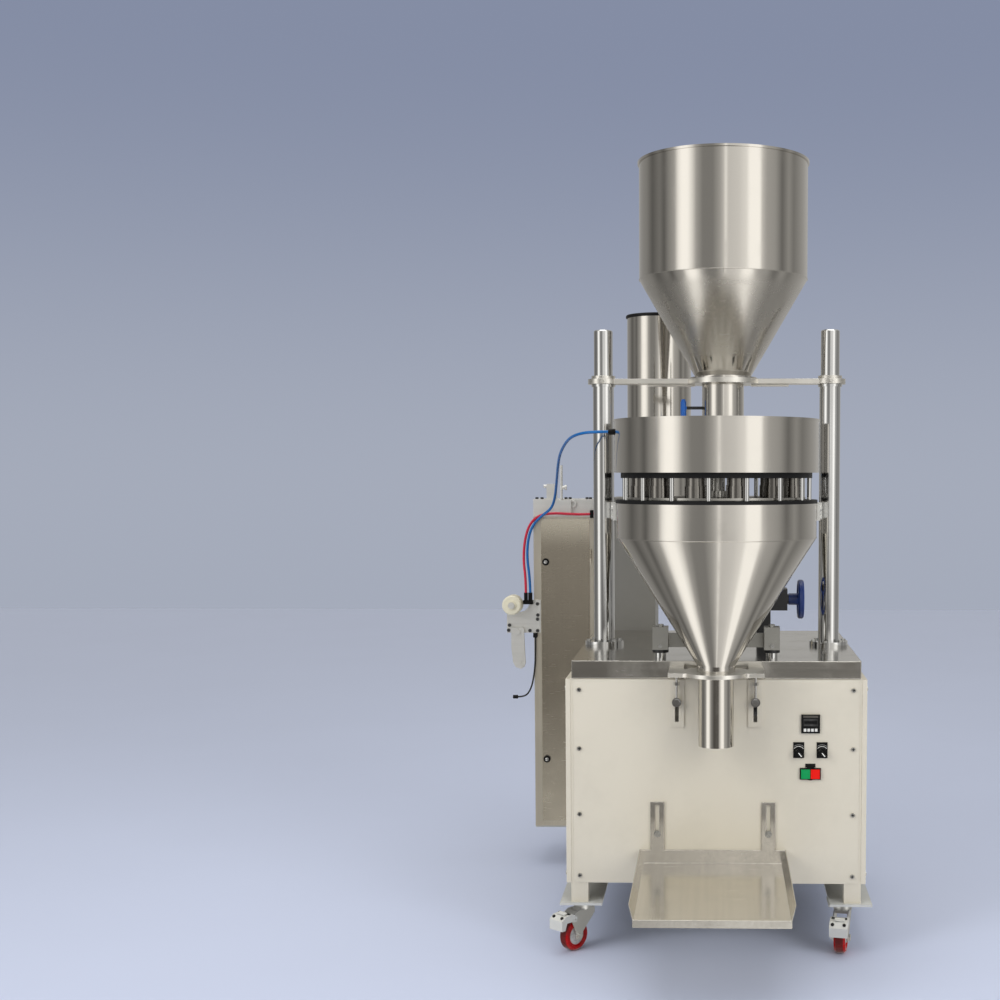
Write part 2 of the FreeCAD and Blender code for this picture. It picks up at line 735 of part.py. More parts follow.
# The lower hopper and its outlet.
def circle_at(name, y, z, radius):
    ring = doc.addObject("Part::Circle", name)
    set_sizes(ring, Radius=radius)
    return put(ring, 0, y, z)


def oblique_cone(name, shrink):
    """A ruled cone between the ring and the outlet, which lies further forward."""
    loft = doc.addObject("Part::Loft", name)
    loft.Sections = [circle_at(name + "_top", turret_y, ring_bottom, ring_radius - shrink),
                     circle_at(name + "_foot", outlet_y, outlet_top, outlet_radius - shrink)]
    loft.Solid = True
    loft.Ruled = True
    return loft


def make_lower_hopper():
    wall = hopper_wall
    ring_top = seal_top - seal_plate
    ring = rod("catch_ring", 0, turret_y, ring_bottom, ring_radius, ring_top - ring_bottom)
    foot = rod("outlet_neck", 0, outlet_y, outlet_top - 14, outlet_radius, 14)
    solid = join("catch_solid", [ring, oblique_cone("cone_outside", 0), foot])
    ring_space = rod("ring_space", 0, turret_y, ring_bottom, ring_radius - wall, ring_top - ring_bottom)
    foot_space = rod("outlet_space", 0, outlet_y, outlet_top - 14, outlet_radius - wall, 14)
    space = join("catch_space", [ring_space, oblique_cone("cone_inside", wall), foot_space])
    shell = carve("catch_shell", solid, [space])
    flange = sleeve("catch_flange", 0, turret_y, ring_top - 4, ring_radius, post_circle - 8, 4)
    whole = join("catch_whole", [shell, flange])
    hole = rod("drive_hole", 0, turret_y, base_top, drive_tube + 0.4, 260)
    return node("lower_hopper", carve("lower_hopper", whole, [hole]))


ARM_LOW = 1120
ARM_HEIGHT = 44
LUG_BOLT_HEIGHTS = (1129, 1153)
SADDLE_DEPTH = 48


def make_hopper_arms():
    """Flat bars from the columns' inner sides to bolted lugs on the catch ring."""
    pieces = []
    for name, side in (("left", -1), ("right", 1)):
        inner = ring_radius + seat_gap
        bar_x = inner if side > 0 else -inner - ARM_BAR
        bar = block("arm_bar_" + name, bar_x, turret_y - 16, ARM_LOW, ARM_BAR, column_y - turret_y + 40,
                    ARM_HEIGHT)
        saddle_x = inner if side > 0 else -inner - ARM_SADDLE
        saddle = block("arm_saddle_" + name, saddle_x, column_y - SADDLE_DEPTH / 2, ARM_LOW, ARM_SADDLE,
                       SADDLE_DEPTH, ARM_HEIGHT)
        column = rod("arm_bore_" + name, column_spread * side, column_y, ARM_LOW - 10,
                     column_radius + running, ARM_HEIGHT + 20)
        solid = [carve("arm_body_" + name, join("arm_solid_" + name, [bar, saddle]), [column])]
        face = inner + ARM_BAR if side > 0 else -inner - ARM_BAR
        along = "X" if side > 0 else "-X"
        for index, z in enumerate(LUG_BOLT_HEIGHTS):
            solid.append(hexagon("lug_bolt_%s_%d" % (name, index), face, turret_y, z, 7, 6, along))
        pieces.append(join("arm_" + name, solid))
    return node("hopper_arms", group("hopper_arms", pieces))


plate_under = plate_top - 10


def make_outlet_bracket():
    """Ring plate round the outlet with two arms back to the top cover."""
    body = new_body("outlet_bracket", 0, 0, plate_under)
    plan = new_sketch(body, "plate_plan", "XY")
    circle(plan, 0, outlet_y, 84)
    pad(body, plan, 10)
    for name, side in (("left", -1), ("right", 1)):
        arm = new_sketch(body, "plate_arm_" + name, "XY")
        near = strip_spread * side - strip_width / 2
        far = strip_spread * side + strip_width / 2
        inner, outer = (far, near) if side < 0 else (near, far)
        outline(arm, [(outer, -3), (outer, outlet_y - 46), (inner, outlet_y - 46),
                      (20 * side, outlet_y - 20), (20 * side, outlet_y + 20),
                      (inner, outlet_y + 36), (inner, -3)])
        pad(body, arm, 10)
    bore = new_sketch(body, "plate_bore", "XY")
    circle(bore, 0, outlet_y, outlet_radius + seat_gap)
    pocket_through(body, bore)
    return node("outlet_bracket", body)


def make_eye_bolts():
    """Eye bolts that hold the outlet bracket up from the slotted strips."""
    pieces = []
    face = -strip_plate
    shank_y = face - 12
    for name, side in (("left", -1), ("right", 1)):
        x = strip_spread * side
        eye = sleeve("eye_" + name, x, face - 8, EYE_Z, 12, EYE_PIN, 8, "-Y")
        shank = rod("eye_shank_" + name, x, shank_y, EYE_Z + 9, 3.5, plate_under - EYE_Z - 9)
        nut = hexagon("eye_nut_" + name, x, shank_y, 703, 7.5, 8)
        second = hexagon("eye_lock_nut_" + name, x, shank_y, plate_under - 7, 7.5, 7)
        pin = rod("eye_pin_" + name, x, 2, EYE_Z, EYE_PIN, 26, "-Y")
        head = hexagon("eye_head_" + name, x, face - 16, EYE_Z, 9, 5, "-Y")
        spacer = rod("eye_spacer_" + name, x, face, EYE_Z, 8, 8, "-Y")
        pieces.append(join("eye_bolt_" + name, [eye, shank, nut, second, pin, head, spacer]))
    return node("eye_bolts", group("eye_bolts", pieces))


def make_discharge_pipe():
    wall = 1.5
    flange_low = outlet_top - 14 - 4
    profile = [(pipe_radius - wall, pipe_bottom), (pipe_radius, pipe_bottom), (pipe_radius, flange_low),
               (outlet_radius, flange_low), (outlet_radius, flange_low + 4),
               (pipe_radius - wall, flange_low + 4)]
    return node("discharge_pipe", turned("discharge_pipe", 0, outlet_y, 0, profile))


def make_guide_posts():
    pieces = []
    for name, side in (("left", -1), ("right", 1)):
        x = guide_spread * side
        pieces.append(rod("guide_post_" + name, x, guide_y, base_top, guide_radius, 82))
    return node("guide_posts", group("guide_posts", pieces))


BLOCK_LOW = 790
BLOCK_HIGH = 849


def make_post_blocks():
    """Clamp blocks on the posts, a tie bar behind the cone and black collars."""
    solids = []
    bores = []
    collars = []
    for name, side in (("left", -1), ("right", 1)):
        x = guide_spread * side
        solids.append(middle_block("post_block_" + name, x, guide_y, BLOCK_LOW, 40, 40,
                                   BLOCK_HIGH - BLOCK_LOW))
        bores.append(rod("post_bore_" + name, x, guide_y, BLOCK_LOW - 1, guide_radius + running, 57))
        collars.append(sleeve("post_collar_" + name, x, guide_y, BLOCK_LOW - 8, 21,
                              guide_radius + running, 8))
        bridge = block("post_bridge_" + name, x - 20, guide_y + 20, BLOCK_LOW, 40, 32, 37)
        solids.append(bridge)
    bar_y = guide_y + 40
    solids.append(block("tie_bar", -guide_spread, bar_y, BLOCK_LOW, guide_spread * 2, 12, 37))
    bar = carve("post_blocks_solid", join("post_blocks_joined", solids), bores)
    return node("post_blocks", group("post_blocks", [bar] + collars))


# The bag tray hangs on two slotted legs.
def make_bag_tray():
    body = new_body("bag_tray")
    left = tray_x - tray_half
    right = tray_x + tray_half
    floor = new_sketch(body, "tray_outline", "XZ")
    flare = 9
    metal = sheet_metal
    outline(floor, [(left, tray_floor - metal), (right, tray_floor - metal),
                    (right + flare, tray_floor + tray_wall), (right + flare - metal, tray_floor + tray_wall),
                    (right - metal, tray_floor), (left + metal, tray_floor),
                    (left - flare + metal, tray_floor + tray_wall), (left - flare, tray_floor + tray_wall)])
    pad(body, floor, tray_depth)
    back = new_sketch(body, "tray_back", "XZ")
    outline(back, [(left, tray_floor - metal), (right, tray_floor - metal),
                   (right + flare, tray_floor + tray_wall), (left - flare, tray_floor + tray_wall)])
    back.AttachmentOffset = Placement(Vector(0, 0, 2.3), Rotation())
    pad(body, back, metal)
    lip = new_sketch(body, "tray_lip", "XZ")
    rectangle(lip, left, tray_floor - 18, right, tray_floor)
    lip.AttachmentOffset = Placement(Vector(0, 0, number(tray_depth)), Rotation())
    lip.setExpression(".AttachmentOffset.Base.z", tray_depth.text)
    pad(body, lip, metal)
    for name, side in (("left", -1), ("right", 1)):
        leg = new_sketch(body, "tray_leg_" + name, "XZ")
        x = tray_x + tray_leg * side
        rectangle(leg, x - 18, tray_floor, x + 18, 397)
        rectangle(leg, x - 5, tray_bolt + 6 - 12, x + 5, 388)
        leg.AttachmentOffset = Placement(Vector(0, 0, 0.3), Rotation())
        pad(body, leg, 4)
    return node("bag_tray", body)


def make_hex_bolts():
    pieces = []
    for name, side in (("left", -1), ("right", 1)):
        def flange_bolt(piece, x, y):
            return bolt(piece, x, y, base_top + flange_plate)

        pieces += ring_of("flange_bolt_" + name, flange_bolt, 6, column_spread * side, column_y, 44, 15)
        x = tray_x + tray_leg * side
        shank = rod("tray_shank_" + name, x, 1.7, tray_bolt, TRAY_SHANK, 6.4, "-Y")
        head = rod("tray_head_" + name, x, -4.7, tray_bolt, 9, 3, "-Y")
        cap = hexagon("tray_hex_" + name, x, -7.7, tray_bolt, 6.5, 5, "-Y")
        pieces.append(join("tray_bolt_" + name, [shank, head, cap]))
        saddle_x = (ring_radius + seat_gap + (ARM_BAR + ARM_SADDLE) / 2) * side
        saddle_z = ARM_LOW + ARM_HEIGHT / 2
        saddle_face = column_y - SADDLE_DEPTH / 2
        pieces.append(bolt("saddle_bolt_" + name, saddle_x, saddle_face, saddle_z, 7, 6, "-Y"))
        pieces.append(bolt("post_cap_" + name, guide_spread * side, guide_y, BLOCK_HIGH, 8, 6))
        pieces.append(cap_screw("post_screw_" + name, guide_spread * side, guide_y - 20, BLOCK_LOW + 10))
    return node("hex_bolts", group("hex_bolts", pieces))


# Counter, switches and buttons on the front panel.
def make_counter_body():
    half = counter_side / 2
    case_half = counter_body_side / 2
    bezel = block("counter_bezel", counter_x - half, -6, counter_z - half, counter_side, 6, counter_side)
    case = block("counter_case", counter_x - case_half, 0, counter_z - case_half,
                 counter_body_side, 62, counter_body_side)
    window = block("counter_window", counter_x - 19, -7, counter_z - 6, 38, 2.2, 20)
    keys = []
    for index in range(4):
        x = counter_x - 18.5 + index * 9.5
        keys.append(block("counter_key_%d" % index, x, -7, counter_z - 20, 8, 1.2, 9))
    solid = carve("counter_solid", join("counter_joined", [bezel, case]), [window])
    return node("counter_body", join("counter_body", [solid] + keys))


def make_switch_bezels():
    """Black selector plates, the double button's surround and a blank legend plate."""
    pieces = []
    for name, side in (("left", -1), ("right", 1)):
        x = counter_x + selector_spread * side
        plate = block("selector_plate_" + name, x - 14, -2, selector_z - 15, 28, 2, 41)
        collar = rod("selector_collar_" + name, x, -2, selector_z, 13, 4, "-Y")
        barrel = rod("selector_barrel_" + name, x, 0, selector_z, 10.9, 42, "Y")
        bore = rod("selector_bore_" + name, x, -20, selector_z, stem_radius + running, 60, "Y")
        joined = join("selector_joined_" + name, [plate, collar, barrel])
        pieces.append(carve("selector_" + name, joined, [bore]))
    pieces.append(block("legend_plate", counter_x - 13, -1.5, 488, 26, 1.5, 10))
    surround = block("button_surround", counter_x - 27, -4, button_z - 15, 54, 4, 30)
    barrel = rod("button_barrel", counter_x, 0, button_z, 17.5, 48, "Y")
    wells = []
    for side in (-1, 1):
        x = counter_x + 12.5 * side
        wells.append(block("button_well_%d" % side, x - 11.8, -6, button_z - 12.4, 23.6, 4.5, 24.8))
        wells.append(rod("button_bore_%d" % side, counter_x + 8 * side, -10, button_z, 4 + running, 60, "Y"))
    pieces.append(carve("button_case", join("button_joined", [surround, barrel]), wells))
    return node("switch_bezels", group("switch_bezels", pieces))


def make_knob(name, side):
    """A selector knob with a raised grip that points at its position."""
    x = counter_x + selector_spread * side
    body = new_body(name, x, -6.3, selector_z)
    base = new_sketch(body, name + "_skirt", "XZ")
    circle(base, 0, 0, 12)
    pad(body, base, 5)
    grip = new_sketch(body, name + "_grip", "XZ")
    lean = math.radians(40)
    corners = [(-3.6, 11), (-3.6, -13), (3.6, -13), (3.6, 11)]
    outline(grip, [(u * math.cos(lean) - v * math.sin(lean), u * math.sin(lean) + v * math.cos(lean))
                   for u, v in corners])
    pad(body, grip, 17)
    stem = new_sketch(body, name + "_stem", "XZ")
    circle(stem, 0, 0, stem_radius)
    pad(body, stem, 30, True)
    return node(name, body)


def make_button(name, side):
    """A square push button with a round plunger in the double case."""
    x = counter_x + 12.5 * side
    cap = block(name + "_cap", x - 11.5, -9.5, button_z - 12, 23, 5.5, 24)
    plunger = rod(name + "_plunger", counter_x + 8 * side, -4.2, button_z, 4, 34, "Y")
    return node(name, join(name, [cap, plunger]))


# The height adjuster behind the lower hopper.
def make_adjuster_box():
    box = block("adjuster_case", 112, handwheel_y - 30, handwheel_z - 29, 84, 60, 59)
    column = block("adjuster_column", 112, handwheel_y - 22, base_top, 38, 44, handwheel_z - base_top)
    nose = rod("adjuster_nose", 196, handwheel_y, handwheel_z, 14, 4, "X")
    bore = rod("adjuster_bore", 150, handwheel_y, handwheel_z, 8 + running, 60, "X")
    joined = join("adjuster_joined", [box, column, nose])
    return node("adjuster_box", carve("adjuster_box", joined, [bore]))


def make_handwheel():
    """Rim, three spokes, hub, turning grip and the spindle in its bearing."""
    body = new_body("handwheel", 200.3, handwheel_y, handwheel_z, "X")
    rim = new_sketch(body, "rim_section", "XZ")
    outer = handwheel_radius
    outline(rim, [(outer - 12, 28), (outer - 9, 25), (outer - 3, 25), (outer, 29), (outer, 37),
                  (outer - 3, 41), (outer - 9, 41), (outer - 12, 38)])
    revolve(body, rim)
    hub = new_sketch(body, "hub_section", "XZ")
    outline(hub, [(0, -40), (8, -40), (8, 0), (16, 0), (16, 30), (11, 40), (0, 40)])
    revolve(body, hub)
    spoke = new_sketch(body, "spoke", "XY")
    spoke.AttachmentOffset = Placement(Vector(0, 0, 28), Rotation())
    rectangle(spoke, 9, -5, outer - 8, 5)
    arm = pad(body, spoke, 7)
    repeat_round(body, arm, 3)
    return node("handwheel", body)


# Castors: two braked swivel castors in front and two fixed ones behind.
PEDAL_PIVOT_V = 50
PEDAL_PIVOT_Z = 88


def fork(name, x, y, yaw, trail, fixed=False):
    """A fork with a bearing race and two cheeks round the wheel."""
    gap = wheel_width / 2 + 2
    race_top = plate_low - CASTOR_PLATE - (0 if fixed else seat_gap)
    race = rod(name + "_race", 0, 0, plate_low - 20, 24, race_top - plate_low + 20)
    crown = block(name + "_crown", -gap - 3, -24, plate_low - 26, gap * 2 + 6, 48, 8)
    cheeks = []
    for label, u in (("near", -gap - 3), ("far", gap)):
        cheek = new_body(name + "_cheek_" + label, u, 0, 0)
        side = new_sketch(cheek, name + "_side_" + label, "YZ")
        nose = PEDAL_PIVOT_V + 7
        outline(side, [(-24, plate_low - 18), (36, plate_low - 18), (nose, PEDAL_PIVOT_Z + 8),
                       (nose, PEDAL_PIVOT_Z - 7), (trail + 11, wheel_radius + 12),
                       (trail + 9, wheel_radius - 10), (trail - 9, wheel_radius - 10),
                       (trail - 14, wheel_radius + 8), (-24, plate_low - 34)])
        pad(cheek, side, 3)
        cheeks.append(cheek)
    axle = rod(name + "_axle", -gap - 6, trail, wheel_radius, axle_radius, gap * 2 + 12, "X")
    nuts = []
    for label, u in (("near", -gap - 8), ("far", gap + 3)):
        nuts.append(hexagon("%s_nut_%s" % (name, label), u, trail, wheel_radius, 9, 5, "X"))
    pins = []
    if not fixed:
        for label, u in (("near", -gap - 7), ("far", gap + 2)):
            pins.append(rod("%s_pin_%s" % (name, label), u, PEDAL_PIVOT_V, PEDAL_PIVOT_Z, 3, 5, "X"))
    whole = join(name + "_whole", [race, crown] + cheeks + [axle] + nuts + pins)
    whole.Placement = Placement(Vector(number(x), number(y), 0), Rotation(Vector(0, 0, 1), yaw))
    return whole


def wheel(name, x, y, yaw, trail):
    """Hub with a bore, a recessed web and a rounded tread."""
    half = wheel_width / 2
    body = new_body(name)
    profile = new_sketch(body, name + "_profile", "XZ")
    bore = axle_radius + running
    outline(profile, [(bore, -half - 1), (13, -half - 1), (15, -half + 4), (wheel_radius - 14, -half + 4),
                      (wheel_radius - 11, -half), (wheel_radius - 5, -half), (wheel_radius, -half + 6),
                      (wheel_radius, half - 6), (wheel_radius - 5, half), (wheel_radius - 11, half),
                      (wheel_radius - 14, half - 4), (15, half - 4), (13, half + 1), (bore, half + 1)])
    revolve(body, profile)
    turn = Rotation(Vector(0, 0, 1), yaw)
    offset = turn.multVec(Vector(0, number(trail), 0))
    spot = Vector(number(x), number(y), number(wheel_radius)) + offset
    body.Placement = Placement(spot, turn.multiply(Rotation(Vector(0, 1, 0), 90)))
    return node(name, body)


def pedal(name, x, y, yaw, press):
    """Brake lever pivoted on the fork's nose, with a wide lip for the foot."""
    gap = wheel_width / 2 + 2
    reach = 48
    pieces = []
    for label, u in (("near", -gap - 6.4), ("far", gap + 3.4)):
        arm = new_body("%s_arm_%s" % (name, label), u, 0, 0)
        side = new_sketch(arm, "%s_side_%s" % (name, label), "YZ")
        outline(side, [(-7, -6), (-7, 6), (10, 16), (reach - 14, 14), (reach, 4), (reach, -22),
                       (reach - 12, -22), (reach - 18, -4), (8, -4), (4, -6)])
        pad(arm, side, 3)
        pieces.append(arm)
    wide = gap * 2 + 12.8
    lip = block(name + "_lip", -gap - 6.4, reach - 4, -22, wide, 4, 26)
    roof = new_body(name + "_roof", -gap - 6.4, 0, 0)
    slope = new_sketch(roof, name + "_slope", "YZ")
    outline(slope, [(10, 13), (10, 16), (reach - 14, 14), (reach, 4), (reach - 4, 2), (reach - 16, 11)])
    pad(roof, slope, wide)
    solid = join(name + "_solid", pieces + [lip, roof])
    bore = rod(name + "_bore", -gap - 10, 0, 0, 3 + running, gap * 2 + 20, "X")
    whole = carve(name + "_whole", solid, [bore])
    turn = Rotation(Vector(0, 0, 1), yaw)
    offset = turn.multVec(Vector(0, PEDAL_PIVOT_V, PEDAL_PIVOT_Z))
    spot = Vector(number(x), number(y), 0) + offset
    whole.Placement = Placement(spot, turn.multiply(Rotation(Vector(1, 0, 0), -press)))
    return node(name, whole)


LEFT_YAW = 140
RIGHT_YAW = 168
RIGHT_PRESS = 12


def make_castors():
    left, right = LEFT_SWIVEL_X, RIGHT_SWIVEL_X
    trail = castor_trail
    node("front_fork_left", fork("front_fork_left", left, FRONT_SWIVEL_Y, LEFT_YAW, trail))
    node("front_fork_right", fork("front_fork_right", right, FRONT_SWIVEL_Y, RIGHT_YAW, trail))
    rear = [fork("rear_fork_left", -skid_spread, REAR_CASTOR_Y, 0, 0, True),
            fork("rear_fork_right", skid_spread, REAR_CASTOR_Y, 0, 0, True)]
    node("rear_castor_forks", group("rear_castor_forks", rear))
    wheel("front_wheel_left", left, FRONT_SWIVEL_Y, LEFT_YAW, trail)
    wheel("front_wheel_right", right, FRONT_SWIVEL_Y, RIGHT_YAW, trail)
    wheel("rear_wheel_left", -skid_spread, REAR_CASTOR_Y, 0, 0)
    wheel("rear_wheel_right", skid_spread, REAR_CASTOR_Y, 0, 0)
    pedal("pedal_left", left, FRONT_SWIVEL_Y, LEFT_YAW, 0)
    pedal("pedal_right", right, FRONT_SWIVEL_Y, RIGHT_YAW, RIGHT_PRESS)


# The rear unit: cabinet with a door, top block, frame, forming tube and film roller.
door_bottom = 149
door_top = 1103
HINGE_HEIGHTS = (260, 620, 980)
HINGE_V = -3.5
LATCH_X = -533
LATCH_HEIGHTS = (("upper", 969), ("lower", 346))
door_face = rear_y


def make_cabinet_body():
    """A welded cabinet with a door opening in its front."""
    width = cabinet_right - cabinet_left
    height = cabinet_top_z - skid_top
    case = block("cabinet_case", cabinet_left, rear_y + 2.3, skid_top, width, rear_depth - 2.3, height)
    inside = block("cabinet_inside", cabinet_left + 3, rear_y + 5, skid_top + 3, width - 6,
                   rear_depth - 8, height - 6)
    opening = block("cabinet_opening", door_left + 4, rear_y, door_bottom + 10,
                    door_right - door_left - 20, 12, door_top - door_bottom - 20)
    edge = block("cabinet_edge", cabinet_left, rear_y, skid_top, door_left - 1 - cabinet_left, 3, height)
    hollow = carve("cabinet_hollow", case, [inside, opening])
    hinge_y = rear_y + 2 + HINGE_V
    hinges = []
    for index, z in enumerate(HINGE_HEIGHTS):
        low = z - 20
        hinges.append(rod("hinge_pin_%d" % index, door_right, hinge_y, low, 1.5, 50))
        hinges.append(rod("hinge_knuckle_%d" % index, door_right, hinge_y, low, 3.3, 20 - seat_gap))
        hinges.append(block("hinge_leaf_%d" % index, door_right, rear_y - 0.5, low, 12, 3.5, 20 - seat_gap))
    return node("cabinet_body", join("cabinet_body", [hollow, edge] + hinges))


def make_cabinet_door():
    """A flat door with cam latch holes and hinge knuckles at its right edge."""
    body = new_body("cabinet_door", 0, rear_y + 2, 0)
    face = new_sketch(body, "door_face", "XZ")
    rectangle(face, door_left, door_bottom, door_right - 4, door_top)
    for name, z in LATCH_HEIGHTS:
        circle(face, LATCH_X, z, 8 + running)
    pad(body, face, 2)
    for index, z in enumerate(HINGE_HEIGHTS):
        knuckle = new_sketch(body, "knuckle_%d" % index, "XY")
        circle(knuckle, door_right, HINGE_V, 3.3)
        circle(knuckle, door_right, HINGE_V, 1.5 + running)
        knuckle.AttachmentOffset = Placement(Vector(0, 0, z), Rotation())
        leaf = new_sketch(body, "leaf_%d" % index, "XY")
        rectangle(leaf, door_right - 5, -2, door_right - 1, 0)
        leaf.AttachmentOffset = Placement(Vector(0, 0, z), Rotation())
        pad(body, leaf, 30)
        pad(body, knuckle, 30)
    return node("cabinet_door", body)


def make_latch(name, z):
    """A quarter turn cam latch with a black bezel and a cam behind the door."""
    bezel = rod(name + "_bezel", LATCH_X, rear_y - 0.3, z, 11, 5, "-Y")
    key = rod(name + "_key", LATCH_X, rear_y - 5.3, z, 5, 3, "-Y")
    barrel = rod(name + "_barrel", LATCH_X, rear_y - 1, z, 8, 15, "Y")
    cam = block(name + "_cam", LATCH_X - 5, rear_y + 10, z - 8, 10, 3, 26)
    return node(name, join(name, [bezel, key, barrel, cam]))


BEAM_SCREWS = (-561, -545, -470, -457, -404, -393)


def make_cabinet_top():
    """Aluminium top block with a small block, two knobs, a ring and a rod."""
    width = cabinet_right - cabinet_left
    beam = block("beam_block", cabinet_left, rear_y, cabinet_top_z, width, 150, beam_top - cabinet_top_z)
    small = block("regulator_block", -530, rear_y + 6, beam_top, 29, 40, 47)
    knob = rod("regulator_knob", -530, rear_y + 18, beam_top + 40, 5, 10, "-X")
    stay = rod("stay_rod", -482, rear_y - 6, 1128, 4, 142)
    second = rod("lock_knob", -478.5, rear_y - 6, beam_top + 36, 5.5, 8, "X")
    cap = rod("lock_knob_cap", -470.5, rear_y - 6, beam_top + 36, 8, 5, "X")
    foot = block("stay_foot", -490, rear_y - 12, 1120, 39, 12, 42)
    ring = sleeve("lifting_ring", -447, rear_y, 1150, 11, 6, 6, "-Y")
    screws = []
    for index, x in enumerate(BEAM_SCREWS):
        screws.append(rod("beam_screw_%d" % index, x, rear_y + 14, beam_top, 4.5, 5))
    pieces = [beam, small, knob, second, cap, stay, foot, ring] + screws
    return node("cabinet_top", join("cabinet_top", pieces))


def make_rear_frame():
    """The painted pedestal that carries the forming tube."""
    column = block("pedestal", -325, rear_y, skid_top, 135, 220, 1170 - skid_top - 8)
    inside = block("pedestal_space", -322, rear_y + 3, skid_top + 3, 129, 214, 1170 - skid_top - 14)
    shelf = block("pedestal_shelf", -325, rear_y, 1162, 260, 220, 8)
    rib = block("pedestal_rib", -190, rear_y + 106, 1082, 110, 8, 80)
    shell = carve("pedestal_shell", column, [inside])
    return node("rear_frame", join("rear_frame", [shell, shelf, rib]))


def make_forming_tube():
    """The tall former with a black rubber rim."""
    wall = 2
    foot = 1170
    profile = [(tube_radius - wall, foot), (tube_radius + 12, foot), (tube_radius + 12, foot + 6),
               (tube_radius, foot + 6), (tube_radius, tube_top - 5), (tube_radius + 2, tube_top - 5),
               (tube_radius + 2, tube_top), (tube_radius - wall, tube_top)]
    return node("forming_tube", turned("forming_tube", tube_x, tube_y, 0, profile))


BRACKET_SCREWS = ((-559, 838), (-558, 803), (-559, 790), (-647, 771), (-650, 755), (-583, 754), (-559, 754))


def make_roller_bracket():
    """Bracket plate on the cabinet's edge with the roller's axle and its screws."""
    body = new_body("bracket_plate", 0, rear_y, 0)
    face = new_sketch(body, "bracket_face", "XZ")
    outline(face, [(-655, 747), (-549, 747), (-549, 850), (-581, 850), (-583, 838), (-590, 825),
                   (-601, 815), (-616, 811), (-655, 811)])
    pad(body, face, 8)
    axle = rod("roller_axle", roller_x, rear_y - 8, roller_z, 6, 62, "-Y")
    head = rod("roller_axle_head", roller_x, rear_y - 69.6, roller_z, 10, 4, "-Y")
    ear = block("roller_ear", roller_x - 12, rear_y - 8, 806, 24, 8, 46)
    pivot = rod("arm_pivot", arm_x, rear_y - 8, arm_z, 5, 10, "-Y")
    pivot_head = rod("arm_pivot_head", arm_x, rear_y - 16.8, arm_z, 9, 4, "-Y")
    screws = []
    for index, (x, z) in enumerate(BRACKET_SCREWS):
        screws.append(rod("bracket_screw_%d" % index, x, rear_y - 8, z, 5, 3, "-Y"))
    pieces = [body, axle, head, ear, pivot, pivot_head] + screws
    return node("roller_bracket", join("roller_bracket", pieces))


def make_film_roller():
    bore = 6 + running
    profile = [(bore, 0), (18, 0), (18, -3), (roller_radius - 4, -3), (roller_radius, 1),
               (roller_radius, 48),
               (roller_radius - 4, 52), (14, 52), (14, 55), (bore, 55)]
    return node("film_roller", turned("film_roller", roller_x, rear_y - 14, roller_z, profile, "-Y"))


def make_tension_arm():
    body = new_body("tension_arm", 0, rear_y - 8.4, 0)
    face = new_sketch(body, "arm_face", "XZ")
    outline(face, [(-641, 764), (-602, 764), (-597, 652), (-601, 640), (-612, 634), (-628, 640),
                   (-636, 655), (-641, 700)])
    circle(face, arm_x, arm_z, 5 + running)
    pad(body, face, 8)
    screws = []
    for index, (x, z) in enumerate(((-614, 655), (-609, 642))):
        screws.append(rod("tension_screw_%d" % index, x, rear_y - 16.4, z, 4, 3, "-Y"))
    return node("tension_arm", join("tension_arm_whole", [body] + screws))


# Hoses: straight runs joined by tangent arcs.
DRUM_FITTING_Z = 1354
BLUE_ROUTE = [(-286, 145, 1354), (-324, 145, 1354), (-362, 170, 1351), (-394, 222, 1342),
              (-418, 300, 1326), (-442, 390, 1300), (-458, 480, 1268), (-471, 570, 1235),
              (-482, 640, 1204), (-493, 700, 1168), (-508, 735, 1136), (-542, 755, 1113),
              (-572, 764, 1082), (-586, 768, 1036), (-589, 770, 980), (-581, 772, 920), (-580, 772, 874)]
RED_ROUTE = [(-392, 774, 1119), (-418, 774, 1118), (-452, 770, 1119), (-500, 769, 1122),
             (-545, 774, 1118), (-580, 779, 1092), (-597, 778, 1040), (-601, 774, 974),
             (-593.5, 770, 918), (-593.5, 770, 874)]
LEAD_ROUTE = [(-566, 779, 733), (-566, 779, 700), (-567, 778, 650), (-572, 777, 606), (-580, 775, 572),
              (-597, 774, 546), (-622, 774, 546)]
HOSE_RADIUS = 4
LEAD_RADIUS = 2.5


def hose(name, route, radius):
    """Sweep a round section along runs and the largest arcs that they allow."""
    points = [Vector(*p) for p in route]
    edges = []
    start = points[0]
    bends = []
    for index in range(1, len(points) - 1):
        here = points[index]
        back = points[index - 1] - here
        ahead = points[index + 1] - here
        shorter = min(back.Length, ahead.Length)
        turn = math.pi - back.getAngle(ahead)
        bend = 0.45 * shorter / math.tan(turn / 2)
        bends.append(round(bend))
        reach = 0.45 * shorter
        into = here + back.normalize() * reach
        out = here + ahead.normalize() * reach
        inward = (back + ahead).normalize()
        middle = here + inward * (bend / math.cos(turn / 2) - bend)
        edges.append(Part.LineSegment(start, into).toShape())
        edges.append(Part.Arc(into, middle, out).toShape())
        start = out
    edges.append(Part.LineSegment(start, points[-1]).toShape())
    path = Part.Wire(edges)
    direction = (points[1] - points[0]).normalize()
    section = Part.Wire(Part.Circle(points[0], direction, radius).toShape())
    tube = path.makePipeShell([section], True, False)
    feature = doc.addObject("Part::Feature", name)
    feature.Shape = tube
    length = sum(edge.Length for edge in edges)
    print("%s length %.0f, bend radii %s" % (name, length, bends))
    expected = math.pi * radius * radius * length
    print("%s volume ratio %.4f" % (name, tube.Volume / expected))
    return node(name, feature)


